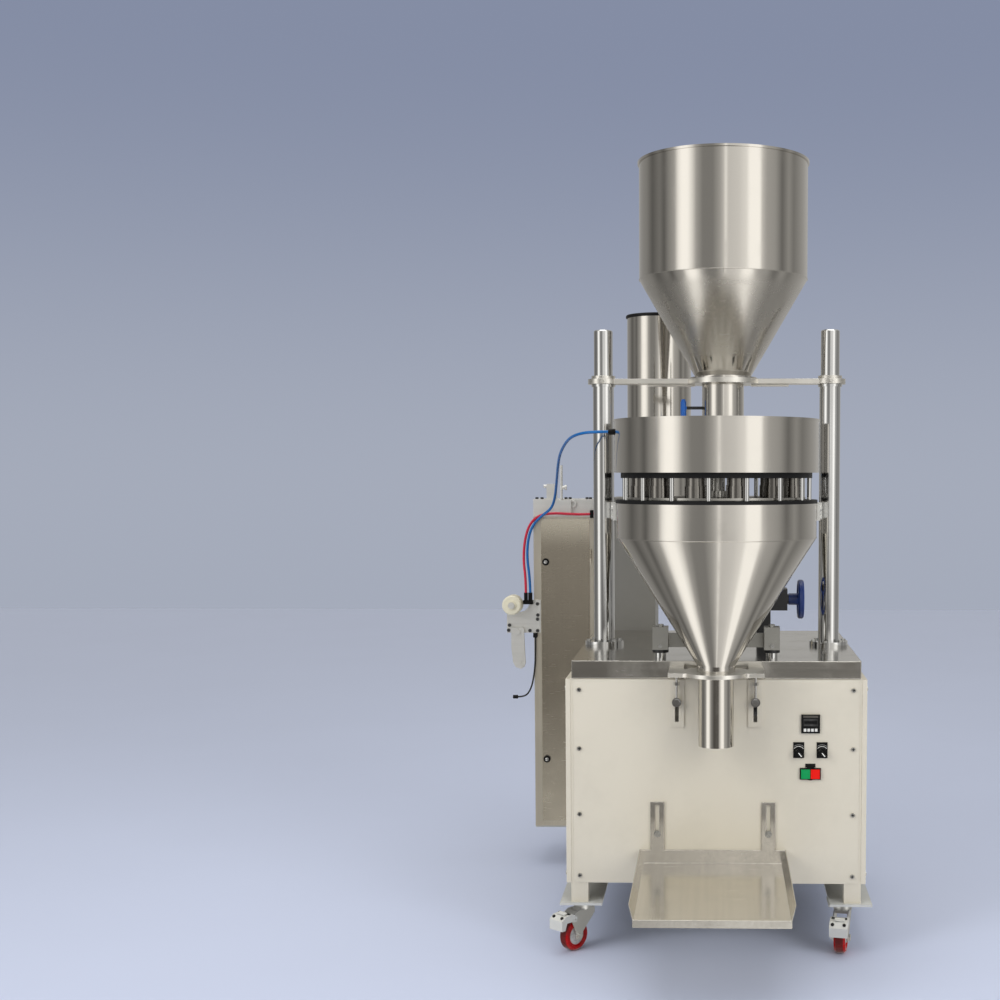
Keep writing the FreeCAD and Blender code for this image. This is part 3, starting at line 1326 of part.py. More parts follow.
def make_hose_fittings():
    """Push-in fittings where the hoses leave the drum, the block and the bracket."""
    drum = rod("drum_fitting", -drum_radius - 16, turret_y, DRUM_FITTING_Z, 8, 16, "X")
    blue = rod("blue_fitting", -580, 772, 850, 6.5, 24)
    red = rod("red_fitting", -593.5, 770, 850, 6, 24)
    rest = block("fitting_block", -602, 764, 838, 30, 18, 12)
    upper = block("red_socket", -392, 766, 1107, 14, 24, 24)
    gland = block("lead_gland", -572, 771, 733, 12, 16, 14)
    plug = rod("lead_plug", -622, 774, 546, 5, 14, "-X")
    joined = join("fitting_row", [blue, red, rest])
    return node("hose_fittings", group("hose_fittings", [drum, joined, upper, gland, plug]))


make_base_frame()
make_chassis_skids()
make_front_panel()
make_cover_panels()
make_top_cover()
make_panel_screws()
make_columns()
make_cross_beam()
make_upper_hopper()
make_level_sensor()
make_dosing_drum()
make_spacer_posts()
make_sealing_plates()
cup_disc("lower_cup_disc", lower_disc_bottom, post_circle - 10, lower_cup_outer + 0.02, 34, 22)
make_cups("lower_cups", lower_disc_bottom, lower_cup_top, lower_cup_outer, lower_cup_bore)
cup_disc("upper_cup_disc", upper_disc_bottom, drum_radius - 5, upper_cup_outer + 0.02, 30, 30)
make_cups("upper_cups", upper_cup_bottom, upper_disc_bottom + disc_plate, upper_cup_outer, cup_bore)
make_drive_shaft()
make_drive_column()
make_drive_motor()
make_lower_hopper()
make_hopper_arms()
make_outlet_bracket()
make_eye_bolts()
make_discharge_pipe()
make_guide_posts()
make_post_blocks()
make_bag_tray()
make_hex_bolts()
make_counter_body()
make_switch_bezels()
make_knob("knob_left", -1)
make_knob("knob_right", 1)
make_button("button_green", -1)
make_button("button_red", 1)
make_adjuster_box()
make_handwheel()
make_castors()
make_cabinet_body()
make_cabinet_door()
for latch_name, latch_z in LATCH_HEIGHTS:
    make_latch("latch_" + latch_name, latch_z)
make_cabinet_top()
make_rear_frame()
make_forming_tube()
make_roller_bracket()
make_film_roller()
make_tension_arm()
make_hose_fittings()
hose("blue_hose", BLUE_ROUTE, HOSE_RADIUS)
hose("red_hose", RED_ROUTE, HOSE_RADIUS)
hose("sensor_lead", LEAD_ROUTE, LEAD_RADIUS)

doc.recompute()

CORDS = ("blue_hose", "red_hose", "sensor_lead")


def check_document():
    """Stop before anything is written if a feature or a sub-part failed."""
    for thing in doc.Objects:
        if "Invalid" in thing.State or "Error" in thing.State:
            raise RuntimeError("failed feature: " + thing.Name)
    for label, thing in nodes:
        if thing.Shape.isNull() or not thing.Shape.isValid():
            raise RuntimeError("bad shape: " + label)
        if not thing.Shape.Solids:
            raise RuntimeError("no solid: " + label)


def machine_origin():
    """The middle of the machine's footprint, on the floor, without the hoses."""
    box = FreeCAD.BoundBox()
    for label, thing in nodes:
        if label not in CORDS:
            box.add(thing.Shape.optimalBoundingBox(False, False))
    return Vector(box.Center.x, box.Center.y, box.ZMin)


def write_parts():
    """Write each sub-part with the footprint's middle as the origin."""
    origin = machine_origin()
    print("origin %.4f %.4f %.4f" % (origin.x, origin.y, origin.z))
    os.makedirs("parts", exist_ok=True)
    for label, thing in nodes:
        shape = thing.Shape.copy()
        shape.translate(origin.negative())
        shape.exportStep("parts/%s.step" % label)
    print("sub-parts", len(nodes))


check_document()
write_parts()
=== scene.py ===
# %% [markdown]
# # A machine that measures and packs granules
# The real machine stands about two metres high. A spun steel hopper feeds a turning drum with
# measuring cups, and the filled portions fall through a slanted hopper and a pipe into a bag.
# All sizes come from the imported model. This notebook gives its parts their finish, adds the small
# pieces that only the eye needs, and sets up the floor, the lamps and the camera.

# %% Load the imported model
import bpy
import bmesh
import math
from mathutils import Matrix, Vector


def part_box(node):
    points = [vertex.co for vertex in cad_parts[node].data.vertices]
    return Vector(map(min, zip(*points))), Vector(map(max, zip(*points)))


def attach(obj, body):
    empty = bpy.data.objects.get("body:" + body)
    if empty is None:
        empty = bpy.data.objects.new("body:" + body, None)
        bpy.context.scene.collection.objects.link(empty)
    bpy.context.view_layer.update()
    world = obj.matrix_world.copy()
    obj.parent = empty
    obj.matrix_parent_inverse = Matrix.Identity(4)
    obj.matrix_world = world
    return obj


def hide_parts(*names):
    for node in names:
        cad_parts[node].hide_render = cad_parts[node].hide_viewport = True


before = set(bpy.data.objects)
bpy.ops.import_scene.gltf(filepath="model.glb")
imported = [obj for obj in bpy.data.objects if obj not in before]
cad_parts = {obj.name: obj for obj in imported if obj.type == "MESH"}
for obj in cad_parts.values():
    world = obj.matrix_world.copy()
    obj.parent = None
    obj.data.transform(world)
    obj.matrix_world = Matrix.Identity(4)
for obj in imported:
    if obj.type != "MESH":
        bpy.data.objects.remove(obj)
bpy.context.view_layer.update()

# %% [markdown]
# ## Where things are
# The model was drawn in millimetres, with X measured from the middle of the machine, Y from the
# front panel and Z from the floor. One helper turns such a place into metres in the scene, so
# each number below can be compared with a tape measure held against the real machine.

# %% A place on the machine
MIDDLE_X = 128.5
FRONT_Y = -320.0


def place(x, y, z):
    """A point given in millimetres on the machine, as a point in the scene."""
    return Vector(((x + MIDDLE_X) / 1000, (y + FRONT_Y) / 1000, z / 1000))


print("front of the drum:", place(0, -125, 1300))

# %% [markdown]
# ## The camera
# The camera's distance and lens were worked out from straight edges that run away from the
# viewer. It stands about three and a half metres in front of the panel, looks a few degrees
# down, and the machine is right of the middle of the picture. Turning the camera would lean the
# columns, so the lens is shifted sideways, as on an architect's camera.

# %% Camera
lens = bpy.data.cameras.new("camera")
lens.sensor_width = 36
lens.lens = 50.4
lens.shift_x = -0.187
lens.shift_y = 0.073
lens.clip_end = 50
camera = bpy.data.objects.new("camera", lens)
camera.location = place(0, -3570, 1239.7)
camera.rotation_euler = (math.radians(86.0), 0, math.radians(1.2))
bpy.context.scene.collection.objects.link(camera)
bpy.context.scene.camera = camera
print("camera at", tuple(round(v, 3) for v in camera.location))

# %% [markdown]
# ## Shared effects: grain, marks, dust and rubbed edges
# Brushed steel, spun steel and powder coat differ in scale and direction more than in kind. Each
# effect is therefore a node group that is built once, and a material sets its numbers. A
# group only puts out values that change over the surface. The shader itself stays in the material.

# %% A group with named sockets


def effect(name, takes, gives):
    """An empty shader node group with the inputs and outputs that are named."""
    group = bpy.data.node_groups.new(name, "ShaderNodeTree")
    for label, kind, start in takes:
        socket = group.interface.new_socket(label, in_out="INPUT", socket_type="NodeSocket" + kind)
        socket.default_value = start
    for label, kind in gives:
        group.interface.new_socket(label, in_out="OUTPUT", socket_type="NodeSocket" + kind)
    entry = group.nodes.new("NodeGroupInput")
    way_out = group.nodes.new("NodeGroupOutput")
    return group, entry, way_out


def noise(group, vector, scale, detail, roughness=0.5):
    """A noise texture that reads the vector and gives a value."""
    cloud = group.nodes.new("ShaderNodeTexNoise")
    cloud.inputs["Scale"].default_value = scale
    cloud.inputs["Detail"].default_value = detail
    cloud.inputs["Roughness"].default_value = roughness
    group.links.new(vector, cloud.inputs["Vector"])
    return cloud.outputs["Fac"]


def ramp(group, value, low, high):
    """Stretches the part of a value between low and high over 0 to 1."""
    node = group.nodes.new("ShaderNodeMapRange")
    node.interpolation_type = "SMOOTHSTEP"
    node.inputs["From Min"].default_value = low
    node.inputs["From Max"].default_value = high
    group.links.new(value, node.inputs["Value"])
    return node.outputs["Result"]


def sum_up(group, how, first, second):
    """One sum of two values. Each is a socket or a number."""
    node = group.nodes.new("ShaderNodeMath")
    node.operation = how
    for index, term in enumerate((first, second)):
        if isinstance(term, (int, float)):
            node.inputs[index].default_value = term
        else:
            group.links.new(term, node.inputs[index])
    return node.outputs["Value"]


# %% Grain that runs one way
grain, entry, way_out = effect(
    "grain that runs one way",
    [("Place", "Vector", (0, 0, 0)), ("Lines", "Vector", (8, 900, 900))],
    [("Height", "Float"), ("Tone", "Float")],
)
stretch = grain.nodes.new("ShaderNodeVectorMath")
stretch.operation = "MULTIPLY"
grain.links.new(entry.outputs["Place"], stretch.inputs[0])
grain.links.new(entry.outputs["Lines"], stretch.inputs[1])
fine = noise(grain, stretch.outputs[0], 1.0, 3.0, 0.6)
broad = noise(grain, stretch.outputs[0], 0.13, 2.0)
grain.links.new(sum_up(grain, "ADD", fine, broad), way_out.inputs["Height"])
grain.links.new(broad, way_out.inputs["Tone"])
print("group:", grain.name)

# %% Marks of hands and cloths
marks, entry, way_out = effect(
    "marks of hands and cloths",
    [("Place", "Vector", (0, 0, 0)), ("Size", "Float", 9.0)],
    [("Marks", "Float"), ("Scratches", "Float")],
)
scaled = marks.nodes.new("ShaderNodeVectorMath")
scaled.operation = "SCALE"
marks.links.new(entry.outputs["Place"], scaled.inputs[0])
marks.links.new(entry.outputs["Size"], scaled.inputs["Scale"])
patches = ramp(marks, noise(marks, scaled.outputs[0], 1.0, 5.0, 0.62), 0.42, 0.7)
marks.links.new(patches, way_out.inputs["Marks"])
slant = marks.nodes.new("ShaderNodeMapping")
slant.inputs["Rotation"].default_value = (0.4, 0.9, 0.5)
slant.inputs["Scale"].default_value = (2.0, 90.0, 60.0)
marks.links.new(scaled.outputs[0], slant.inputs["Vector"])
lines = ramp(marks, noise(marks, slant.outputs[0], 1.0, 2.0), 0.66, 0.74)
marks.links.new(lines, way_out.inputs["Scratches"])
print("group:", marks.name)

# %% Dust that settles on what faces up
dust, entry, way_out = effect(
    "dust on what faces up",
    [("Place", "Vector", (0, 0, 0)), ("Normal", "Vector", (0, 0, 1)), ("Amount", "Float", 0.4)],
    [("Dust", "Float")],
)
parts_of_normal = dust.nodes.new("ShaderNodeSeparateXYZ")
dust.links.new(entry.outputs["Normal"], parts_of_normal.inputs[0])
level = ramp(dust, parts_of_normal.outputs["Z"], 0.5, 0.98)
specks = ramp(dust, noise(dust, entry.outputs["Place"], 34.0, 7.0, 0.7), 0.36, 0.72)
settled = sum_up(dust, "MULTIPLY", level, specks)
dust.links.new(
    sum_up(dust, "MULTIPLY", settled, entry.outputs["Amount"]), way_out.inputs["Dust"]
)
print("group:", dust.name)

# %% Edges that are rubbed bright
rubbed, entry, way_out = effect(
    "rubbed edges",
    [("Place", "Vector", (0, 0, 0)), ("Amount", "Float", 0.6)],
    [("Rubbed", "Float")],
)
rounded = rubbed.nodes.new("ShaderNodeBevel")
rounded.samples = 4
rounded.inputs["Radius"].default_value = 0.0022
facing = rubbed.nodes.new("ShaderNodeNewGeometry")
agreement = rubbed.nodes.new("ShaderNodeVectorMath")
agreement.operation = "DOT_PRODUCT"
rubbed.links.new(rounded.outputs["Normal"], agreement.inputs[0])
rubbed.links.new(facing.outputs["Normal"], agreement.inputs[1])
edge = ramp(rubbed, sum_up(rubbed, "SUBTRACT", 1.0, agreement.outputs["Value"]), 0.02, 0.16)
broken = ramp(rubbed, noise(rubbed, entry.outputs["Place"], 95.0, 6.0, 0.7), 0.4, 0.6)
worn = sum_up(rubbed, "MULTIPLY", edge, broken)
rubbed.links.new(
    sum_up(rubbed, "MULTIPLY", worn, entry.outputs["Amount"]), way_out.inputs["Rubbed"]
)
print("group:", rubbed.name)

# %% [markdown]
# ## A small set of tools for the materials
# A material starts as the usual shader with Object coordinates, so its pattern stays on the piece
# when the piece moves. Colours are written as they look on a screen, from 0 to 255, and turned
# into light values once.

# %% Start of a material


def colour(red, green, blue):
    """A screen colour from 0 to 255, as the light values that a shader takes."""
    shares = [c / 255 for c in (red, green, blue)]
    light = [c / 12.92 if c <= 0.04045 else ((c + 0.055) / 1.055) ** 2.4 for c in shares]
    return (*light, 1.0)


class Finish:
    """A material with its shader, and short ways to add to it."""

    def __init__(self, name, metallic, roughness):
        """Starts a material that is metal or not, with one roughness all over."""
        self.material = bpy.data.materials.new(name)
        self.material.use_nodes = True
        self.tree = self.material.node_tree
        self.nodes = self.tree.nodes
        self.links = self.tree.links
        self.shader = self.nodes["Principled BSDF"]
        self.shader.inputs["Metallic"].default_value = metallic
        self.shader.inputs["Roughness"].default_value = roughness
        self.where = self.nodes.new("ShaderNodeTexCoord")

    def put(self, group, **values):
        """Places a shared effect, with Object coordinates as its place."""
        node = self.nodes.new("ShaderNodeGroup")
        node.node_tree = group
        self.links.new(self.where.outputs["Object"], node.inputs["Place"])
        if "Normal" in node.inputs:
            self.links.new(self.where.outputs["Normal"], node.inputs["Normal"])
        for label, value in values.items():
            node.inputs[label].default_value = value
        return node.outputs

    def mix(self, mask, first, second):
        """Goes from the first colour to the second where the mask goes from 0 to 1."""
        node = self.nodes.new("ShaderNodeMix")
        node.data_type = "RGBA"
        self.links.new(mask, node.inputs[0])
        for socket, value in ((node.inputs[6], first), (node.inputs[7], second)):
            if isinstance(value, tuple):
                socket.default_value = value
            else:
                self.links.new(value, socket)
        return node.outputs[2]

    def spread(self, value, low, high):
        """Turns a value from 0 to 1 into one from low to high."""
        node = self.nodes.new("ShaderNodeMapRange")
        node.inputs["To Min"].default_value = low
        node.inputs["To Max"].default_value = high
        self.links.new(value, node.inputs["Value"])
        return node.outputs["Result"]

    def bump(self, height, depth, strength=1.0, round_by=0.0):
        """Raises the surface by a height, as much as depth in metres, and rounds its edges."""
        node = self.nodes.new("ShaderNodeBump")
        if round_by:
            rounded_edge = self.nodes.new("ShaderNodeBevel")
            rounded_edge.samples = 4
            rounded_edge.inputs["Radius"].default_value = round_by
            self.links.new(rounded_edge.outputs["Normal"], node.inputs["Normal"])
        node.inputs["Strength"].default_value = strength
        node.inputs["Distance"].default_value = depth
        self.links.new(height, node.inputs["Height"])
        self.feed("Normal", node.outputs["Normal"])

    def feed(self, label, source):
        """Leads a socket of the node tree into one of the shader's sockets."""
        self.links.new(source, self.shader.inputs[label])


print("white is", [round(v, 3) for v in colour(255, 255, 255)])

# %% [markdown]
# ## Steel that was spun, brushed or polished
# The hoppers and the drum were spun on a lathe and polished, so their finest lines lie level
# around them. The top cover, the cabinet and the tray are brushed sheet with longer lines. The
# columns are chromed and nearly a mirror. All are one recipe with other lines and roughness.

# %% Bare metal


def bare_metal(name, tone, roughness, lines, depth, marks_size=9.0, round_by=0.0, handled=0.5):
    """Metal with grain along its lines, marks of handling and edges that catch the light."""
    finish = Finish(name, 1.0, roughness)
    run = finish.put(grain, Lines=lines)
    hands = finish.put(marks, Size=marks_size)
    settled_dust = finish.put(dust, Amount=0.05)
    darker = tuple(c * 0.82 for c in tone[:3]) + (1.0,)
    base = finish.mix(run["Tone"], darker, tone)
    base = finish.mix(settled_dust["Dust"], base, colour(176, 170, 158))
    finish.feed("Base Color", base)
    mark_value = finish.spread(hands["Marks"], roughness, roughness * (1 + handled) + 0.02)
    scratch = sum_up(finish.tree, "MULTIPLY", hands["Scratches"], 0.08)
    rough = sum_up(finish.tree, "ADD", mark_value, scratch)
    dust_rough = sum_up(finish.tree, "MULTIPLY", settled_dust["Dust"], 0.4)
    finish.feed("Roughness", sum_up(finish.tree, "ADD", rough, dust_rough))
    finish.bump(run["Height"], depth, 0.6, round_by)
    return finish.material


spun_steel = bare_metal("spun polished steel", colour(208, 204, 197), 0.09, (60, 60, 1.4), 0.00005)
cover_steel = bare_metal(
    "polished steel cover", colour(214, 211, 204), 0.14, (7, 900, 900), 0.000003, round_by=0.0036
)
tray_steel = bare_metal(
    "brushed tray steel", colour(222, 218, 210), 0.15, (900, 8, 900), 0.000005, round_by=0.003
)
brushed_sheet = bare_metal(
    "brushed door sheet", colour(190, 181, 165), 0.24, (900, 900, 8), 0.000004, handled=0.1
)
# The cabinet body is the door's brushed sheet in a lighter tone, as painted highlight along its
# narrow front strip.
highlit_body_sheet = bare_metal(
    "brushed body sheet", colour(230, 223, 208), 0.34, (900, 900, 8), 0.000004, handled=0.1
)
chrome = bare_metal("chrome plate", colour(214, 214, 213), 0.09, (40, 40, 40), 0.00001, 22.0)
satin_plate = bare_metal(
    "satin aluminium", colour(232, 231, 226), 0.34, (12, 700, 700), 0.00001, round_by=0.001
)
satin_plate.node_tree.nodes["Principled BSDF"].inputs["Metallic"].default_value = 0.55
turned_metal = bare_metal("turned aluminium", colour(190, 188, 182), 0.26, (5, 5, 2300), 0.00001)
zinc = bare_metal("zinc plate", colour(196, 196, 193), 0.24, (160, 160, 160), 0.00003, 40.0)
fork_zinc = bare_metal(
    "pressed zinc plate", colour(222, 222, 219), 0.36, (90, 90, 90), 0.00003, round_by=0.0015
)
bright_plate = bare_metal(
    "milled bracket plate", colour(238, 235, 228), 0.3, (60, 60, 9), 0.00001, round_by=0.0015
)
# The disc is bead blasted, and its near white tone is painted light, so that it and its reflection
# in the hopper read lighter inside the dim drum.
matte_disc_painted_light = bare_metal("bead blasted disc", colour(246, 244, 239), 0.6, (300, 300, 300), 0.00003)
# The cups are darker than the other spun steel as painted shade: they hang in the shade under the
# drum's disc.
shaded_cup_steel = bare_metal("cup steel darkened as painted shade", colour(132, 129, 124), 0.14, (50, 50, 2), 0.00003)
hopper_steel = bare_metal(
    "upper hopper steel", colour(208, 204, 197), 0.09, (60, 60, 1.4), 0.00005
)
NECK_TOP = (1556, 1568)
KNEE = (1742, 1772)
# Heights over which the door's painted highlight fades in, at its top and at its foot.
DOOR_TOP_HIGHLIGHT = (1000, 1110)
DOOR_FOOT_HIGHLIGHT = (200, 640)
CONE_DULLER_BY = 0.15


def height_share(tree, low, high):
    """Goes from 0 to 1 between two heights in millimetres."""
    spot = tree.nodes.new("ShaderNodeTexCoord")
    parts = tree.nodes.new("ShaderNodeSeparateXYZ")
    tree.links.new(spot.outputs["Object"], parts.inputs[0])
    return ramp(tree, parts.outputs["Z"], place(0, 0, low).z, place(0, 0, high).z)


def take_over(tree, label, make):
    """Puts a new step between a socket of the shader and what fed it."""
    socket = tree.nodes["Principled BSDF"].inputs[label]
    tree.links.new(make(socket.links[0].from_socket), socket)


hopper_tree = hopper_steel.node_tree
above_neck = height_share(hopper_tree, *NECK_TOP)
below_knee = sum_up(hopper_tree, "SUBTRACT", 1.0, height_share(hopper_tree, *KNEE))
on_cone = sum_up(hopper_tree, "MULTIPLY", above_neck, below_knee)
dull = sum_up(hopper_tree, "MULTIPLY", on_cone, CONE_DULLER_BY)
take_over(hopper_tree, "Roughness", lambda before: sum_up(hopper_tree, "ADD", before, dull))

# The door's colour goes towards a pale tone near its top and its foot, as painted highlight.
door_tree = brushed_sheet.node_tree
near_top = height_share(door_tree, *DOOR_TOP_HIGHLIGHT)
near_foot = sum_up(door_tree, "SUBTRACT", 1.0, height_share(door_tree, *DOOR_FOOT_HIGHLIGHT))
door_highlight_mask = sum_up(door_tree, "MAXIMUM", near_top, near_foot)
door_highlight_mix = door_tree.nodes.new("ShaderNodeMix")
door_highlight_mix.data_type = "RGBA"
door_highlight_mix.inputs[7].default_value = colour(238, 230, 212)
door_tree.links.new(door_highlight_mask, door_highlight_mix.inputs[0])
door_tree.links.new(
    door_tree.nodes["Principled BSDF"].inputs["Base Color"].links[0].from_socket,
    door_highlight_mix.inputs[6],
)
take_over(door_tree, "Base Color", lambda before: door_highlight_mix.outputs[2])
print("bare metals:", len(bpy.data.materials))

# %% [markdown]
# ## A crisp seam on the catch hopper
# The real catch hopper is a straight ring welded to a leaning cone, and the light breaks sharply
# at the seam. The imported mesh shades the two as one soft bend. This effect works out the true
# slope instead, level round the ring and square to the cone, and leaves flat faces alone.

# %% The seam as an effect
RING_AXIS = place(0, 145, 1075)
RING_RADIUS = 0.265
FOOT_AXIS = place(0, -90, 766)
FOOT_RADIUS = 0.048
CONE_HEIGHT = RING_AXIS.z - FOOT_AXIS.z


def along(group, operation, first, second):
    """A vector operation on two sockets or fixed vectors."""
    node = group.nodes.new("ShaderNodeVectorMath")
    node.operation = operation
    for socket, value in zip(node.inputs, (first, second)):
        if isinstance(value, bpy.types.NodeSocket):
            group.links.new(value, socket)
        else:
            socket.default_value = value
    return node.outputs["Value" if operation == "DOT_PRODUCT" else "Vector"]


seam, entry, way_out = effect(
    "crisp seam",
    [
        ("Place", "Vector", (0, 0, 0)),
        ("Smooth", "Vector", (0, 0, 1)),
        ("Face", "Vector", (0, 0, 1)),
    ],
    [("Normal", "Vector")],
)
height = along(seam, "DOT_PRODUCT", entry.outputs["Place"], (0, 0, 1))
below = seam.nodes.new("ShaderNodeMapRange")
below.inputs["From Min"].default_value = RING_AXIS.z
below.inputs["From Max"].default_value = FOOT_AXIS.z
seam.links.new(height, below.inputs["Value"])
shift = seam.nodes.new("ShaderNodeCombineXYZ")
lean = FOOT_AXIS.y - RING_AXIS.y
seam.links.new(sum_up(seam, "MULTIPLY", below.outputs["Result"], lean), shift.inputs["Y"])
from_axis = along(seam, "SUBTRACT", entry.outputs["Place"], (RING_AXIS.x, RING_AXIS.y, 0))
from_axis = along(seam, "SUBTRACT", from_axis, shift.outputs["Vector"])
level = along(seam, "NORMALIZE", along(seam, "MULTIPLY", from_axis, (1, 1, 0)), (0, 0, 0))
forward = along(seam, "DOT_PRODUCT", level, (0, lean / CONE_HEIGHT, 0))
slope = sum_up(seam, "ADD", forward, (FOOT_RADIUS - RING_RADIUS) / CONE_HEIGHT)
on_cone = sum_up(seam, "MULTIPLY", sum_up(seam, "LESS_THAN", height, RING_AXIS.z),
                 sum_up(seam, "GREATER_THAN", height, FOOT_AXIS.z))
tip = seam.nodes.new("ShaderNodeCombineXYZ")
seam.links.new(sum_up(seam, "MULTIPLY", slope, on_cone), tip.inputs["Z"])
true_slope = along(seam, "NORMALIZE", along(seam, "ADD", level, tip.outputs["Vector"]), (0, 0, 0))
agree = along(seam, "DOT_PRODUCT", true_slope, entry.outputs["Face"])
facing = seam.nodes.new("ShaderNodeVectorMath")
facing.operation = "SCALE"
seam.links.new(true_slope, facing.inputs[0])
seam.links.new(sum_up(seam, "SIGN", agree, 0.0), facing.inputs["Scale"])
choice = seam.nodes.new("ShaderNodeMix")
choice.data_type = "VECTOR"
seam.links.new(ramp(seam, sum_up(seam, "ABSOLUTE", agree, 0.0), 0.96, 0.985), choice.inputs[0])
seam.links.new(entry.outputs["Smooth"], choice.inputs[4])
seam.links.new(facing.outputs["Vector"], choice.inputs[5])
seam.links.new(choice.outputs[1], way_out.inputs["Normal"])

catch_steel = bare_metal("catch hopper steel", colour(208, 204, 197), 0.09, (60, 60, 1.4), 0.00005)
catch_tree = catch_steel.node_tree
crisp = catch_tree.nodes.new("ShaderNodeGroup")
crisp.node_tree = seam
surface = catch_tree.nodes.new("ShaderNodeNewGeometry")
spot = catch_tree.nodes.new("ShaderNodeTexCoord")
catch_tree.links.new(spot.outputs["Object"], crisp.inputs["Place"])
catch_tree.links.new(surface.outputs["Normal"], crisp.inputs["Smooth"])
catch_tree.links.new(surface.outputs["True Normal"], crisp.inputs["Face"])
for node in catch_tree.nodes:
    if node.type == "BUMP":
        catch_tree.links.new(crisp.outputs["Normal"], node.inputs["Normal"])
print("cone height in metres:", round(CONE_HEIGHT, 3))

# %% [markdown]
# ## Powder coat
# The panels were sprayed with powder and baked. The skin has a fine ripple like orange peel, it
# is a little uneven in tone, and sharp folds are rubbed through to a paler coat. Rippling the
# bump with noise at half a millimetre gives that skin at its real scale.

# %% Coated sheet


def coated(name, tone, worn_tone, roughness, ripple=0.00005, rub=0.5, dusty=0.12):
    """Sprayed and baked coat with ripple, rubbed edges, marks and dust."""
    finish = Finish(name, 0.0, roughness)
    hands = finish.put(marks, Size=5.0)
    edges = finish.put(rubbed, Amount=rub)
    settled_dust = finish.put(dust, Amount=dusty)
    deeper = tuple(c * 0.9 for c in tone[:3]) + (1.0,)
    base = finish.mix(finish.spread(hands["Marks"], 0.0, 0.55), tone, deeper)
    base = finish.mix(edges["Rubbed"], base, worn_tone)
    base = finish.mix(settled_dust["Dust"], base, colour(150, 143, 130))
    finish.feed("Base Color", base)
    finish.feed("Roughness", finish.spread(hands["Marks"], roughness, roughness + 0.14))
    peel = noise(finish.tree, finish.where.outputs["Object"], 900.0, 2.0)
    finish.bump(peel, ripple, 0.8)
    return finish.material


ivory_coat = coated("ivory powder coat", colour(216, 209, 192), colour(232, 228, 216), 0.36)
grey_coat = coated("pale grey paint", colour(205, 206, 203), colour(166, 165, 160), 0.42)
post_coat = coated("grey pedestal paint", colour(132, 130, 124), colour(170, 168, 160), 0.4)
black_oxide = coated(
    "blackened steel", colour(38, 38, 40), colour(120, 118, 114), 0.38, 0.00004, 0.8, 0.15
)
motor_coat = coated("motor enamel", colour(60, 64, 68), colour(130, 130, 128), 0.4, 0.00006)
print("coats made")

# %% [markdown]
# ## Plastics, rubber and the red wheels
# Moulded plastic keeps the faint spark texture of its mould. It has no metal, a soft sheen where
# fingers polish it, and small scratches. The wheels are a red polyurethane tyre cast around a
# grey hub, which the material tells apart by the distance from the axle.

# %% Moulded plastic


def moulded(name, tone, roughness, texture=2600.0, depth=0.00002, coat=0.0, sheen=0.5):
    """Moulded plastic with spark texture, scratches and a coat where it is glossy."""
    finish = Finish(name, 0.0, roughness)
    finish.shader.inputs["Coat Weight"].default_value = coat
    finish.shader.inputs["Specular IOR Level"].default_value = sheen
    hands = finish.put(marks, Size=26.0)
    settled_dust = finish.put(dust, Amount=0.2)
    paler = tuple(min(1.0, c * 1.25 + 0.012) for c in tone[:3]) + (1.0,)
    base = finish.mix(hands["Scratches"], tone, paler)
    base = finish.mix(settled_dust["Dust"], base, colour(150, 146, 138))
    finish.feed("Base Color", base)
    finish.feed("Roughness", finish.spread(hands["Marks"], roughness, roughness + 0.12))
    spark = noise(finish.tree, finish.where.outputs["Object"], texture, 2.0)
    finish.bump(spark, depth, 0.7)
    return finish.material


black_plastic = moulded("black moulded plastic", colour(12, 12, 13), 0.42, sheen=0.2)
green_plastic = moulded("green push button", colour(0, 152, 82), 0.3, sheen=0.3)
red_plastic = moulded("red push button", colour(236, 22, 8), 0.3, sheen=0.2)
ivory_plastic = moulded("ivory nylon", colour(228, 222, 198), 0.34)
pedal_plastic = moulded("pale pedal nylon", colour(214, 214, 208), 0.4)
navy_plastic = moulded("navy handwheel plastic", colour(24, 52, 116), 0.3)
blue_hose_skin = moulded("blue air hose", colour(0, 100, 170), 0.3, 900.0, 0.00003)
red_hose_skin = moulded("red air hose", colour(200, 30, 60), 0.3, 900.0, 0.00003)
black_sheath = moulded("black cable sheath", colour(22, 22, 23), 0.45, 1400.0, 0.00004)
seal_rubber = moulded("black sealing rubber", colour(18, 18, 19), 0.5, 700.0, 0.00006, sheen=0.25)
print("plastics made")

# %% [markdown]
# ## The three free cords and the lead's plug
# A blue air hose leaves the drum's fitting, runs round the left column and down to the cabinet.
# A short red hose runs from the top block to the same fittings, and a thin black lead hangs in
# a loop under the roller bracket. A hose is stiff, so a smooth spline through a few points bends
# as it does. Each is a curve with a round section through its route, and its real length is
# printed.

# %% Cords
BLUE_ROUTE = [
    (-286, 145, 1354), (-324, 145, 1354), (-362, 170, 1351), (-394, 222, 1342),
    (-418, 300, 1326), (-442, 390, 1300), (-458, 480, 1268), (-471, 570, 1235),
    (-482, 640, 1204), (-493, 700, 1168), (-508, 735, 1136), (-542, 755, 1113),
    (-572, 764, 1082), (-586, 768, 1036), (-589, 770, 980), (-581, 772, 920),
    (-580, 772, 874),
]
RED_ROUTE = [
    (-392, 774, 1119), (-418, 774, 1118), (-452, 770, 1119), (-500, 769, 1122),
    (-545, 774, 1118), (-580, 779, 1092), (-597, 778, 1040), (-601, 774, 974),
    (-593.5, 770, 918), (-593.5, 770, 874),
]
LEAD_ROUTE = [
    (-566, 779, 733), (-566, 779, 700), (-567, 778, 650), (-572, 777, 606),
    (-580, 775, 572), (-597, 774, 546), (-622, 774, 546),
]


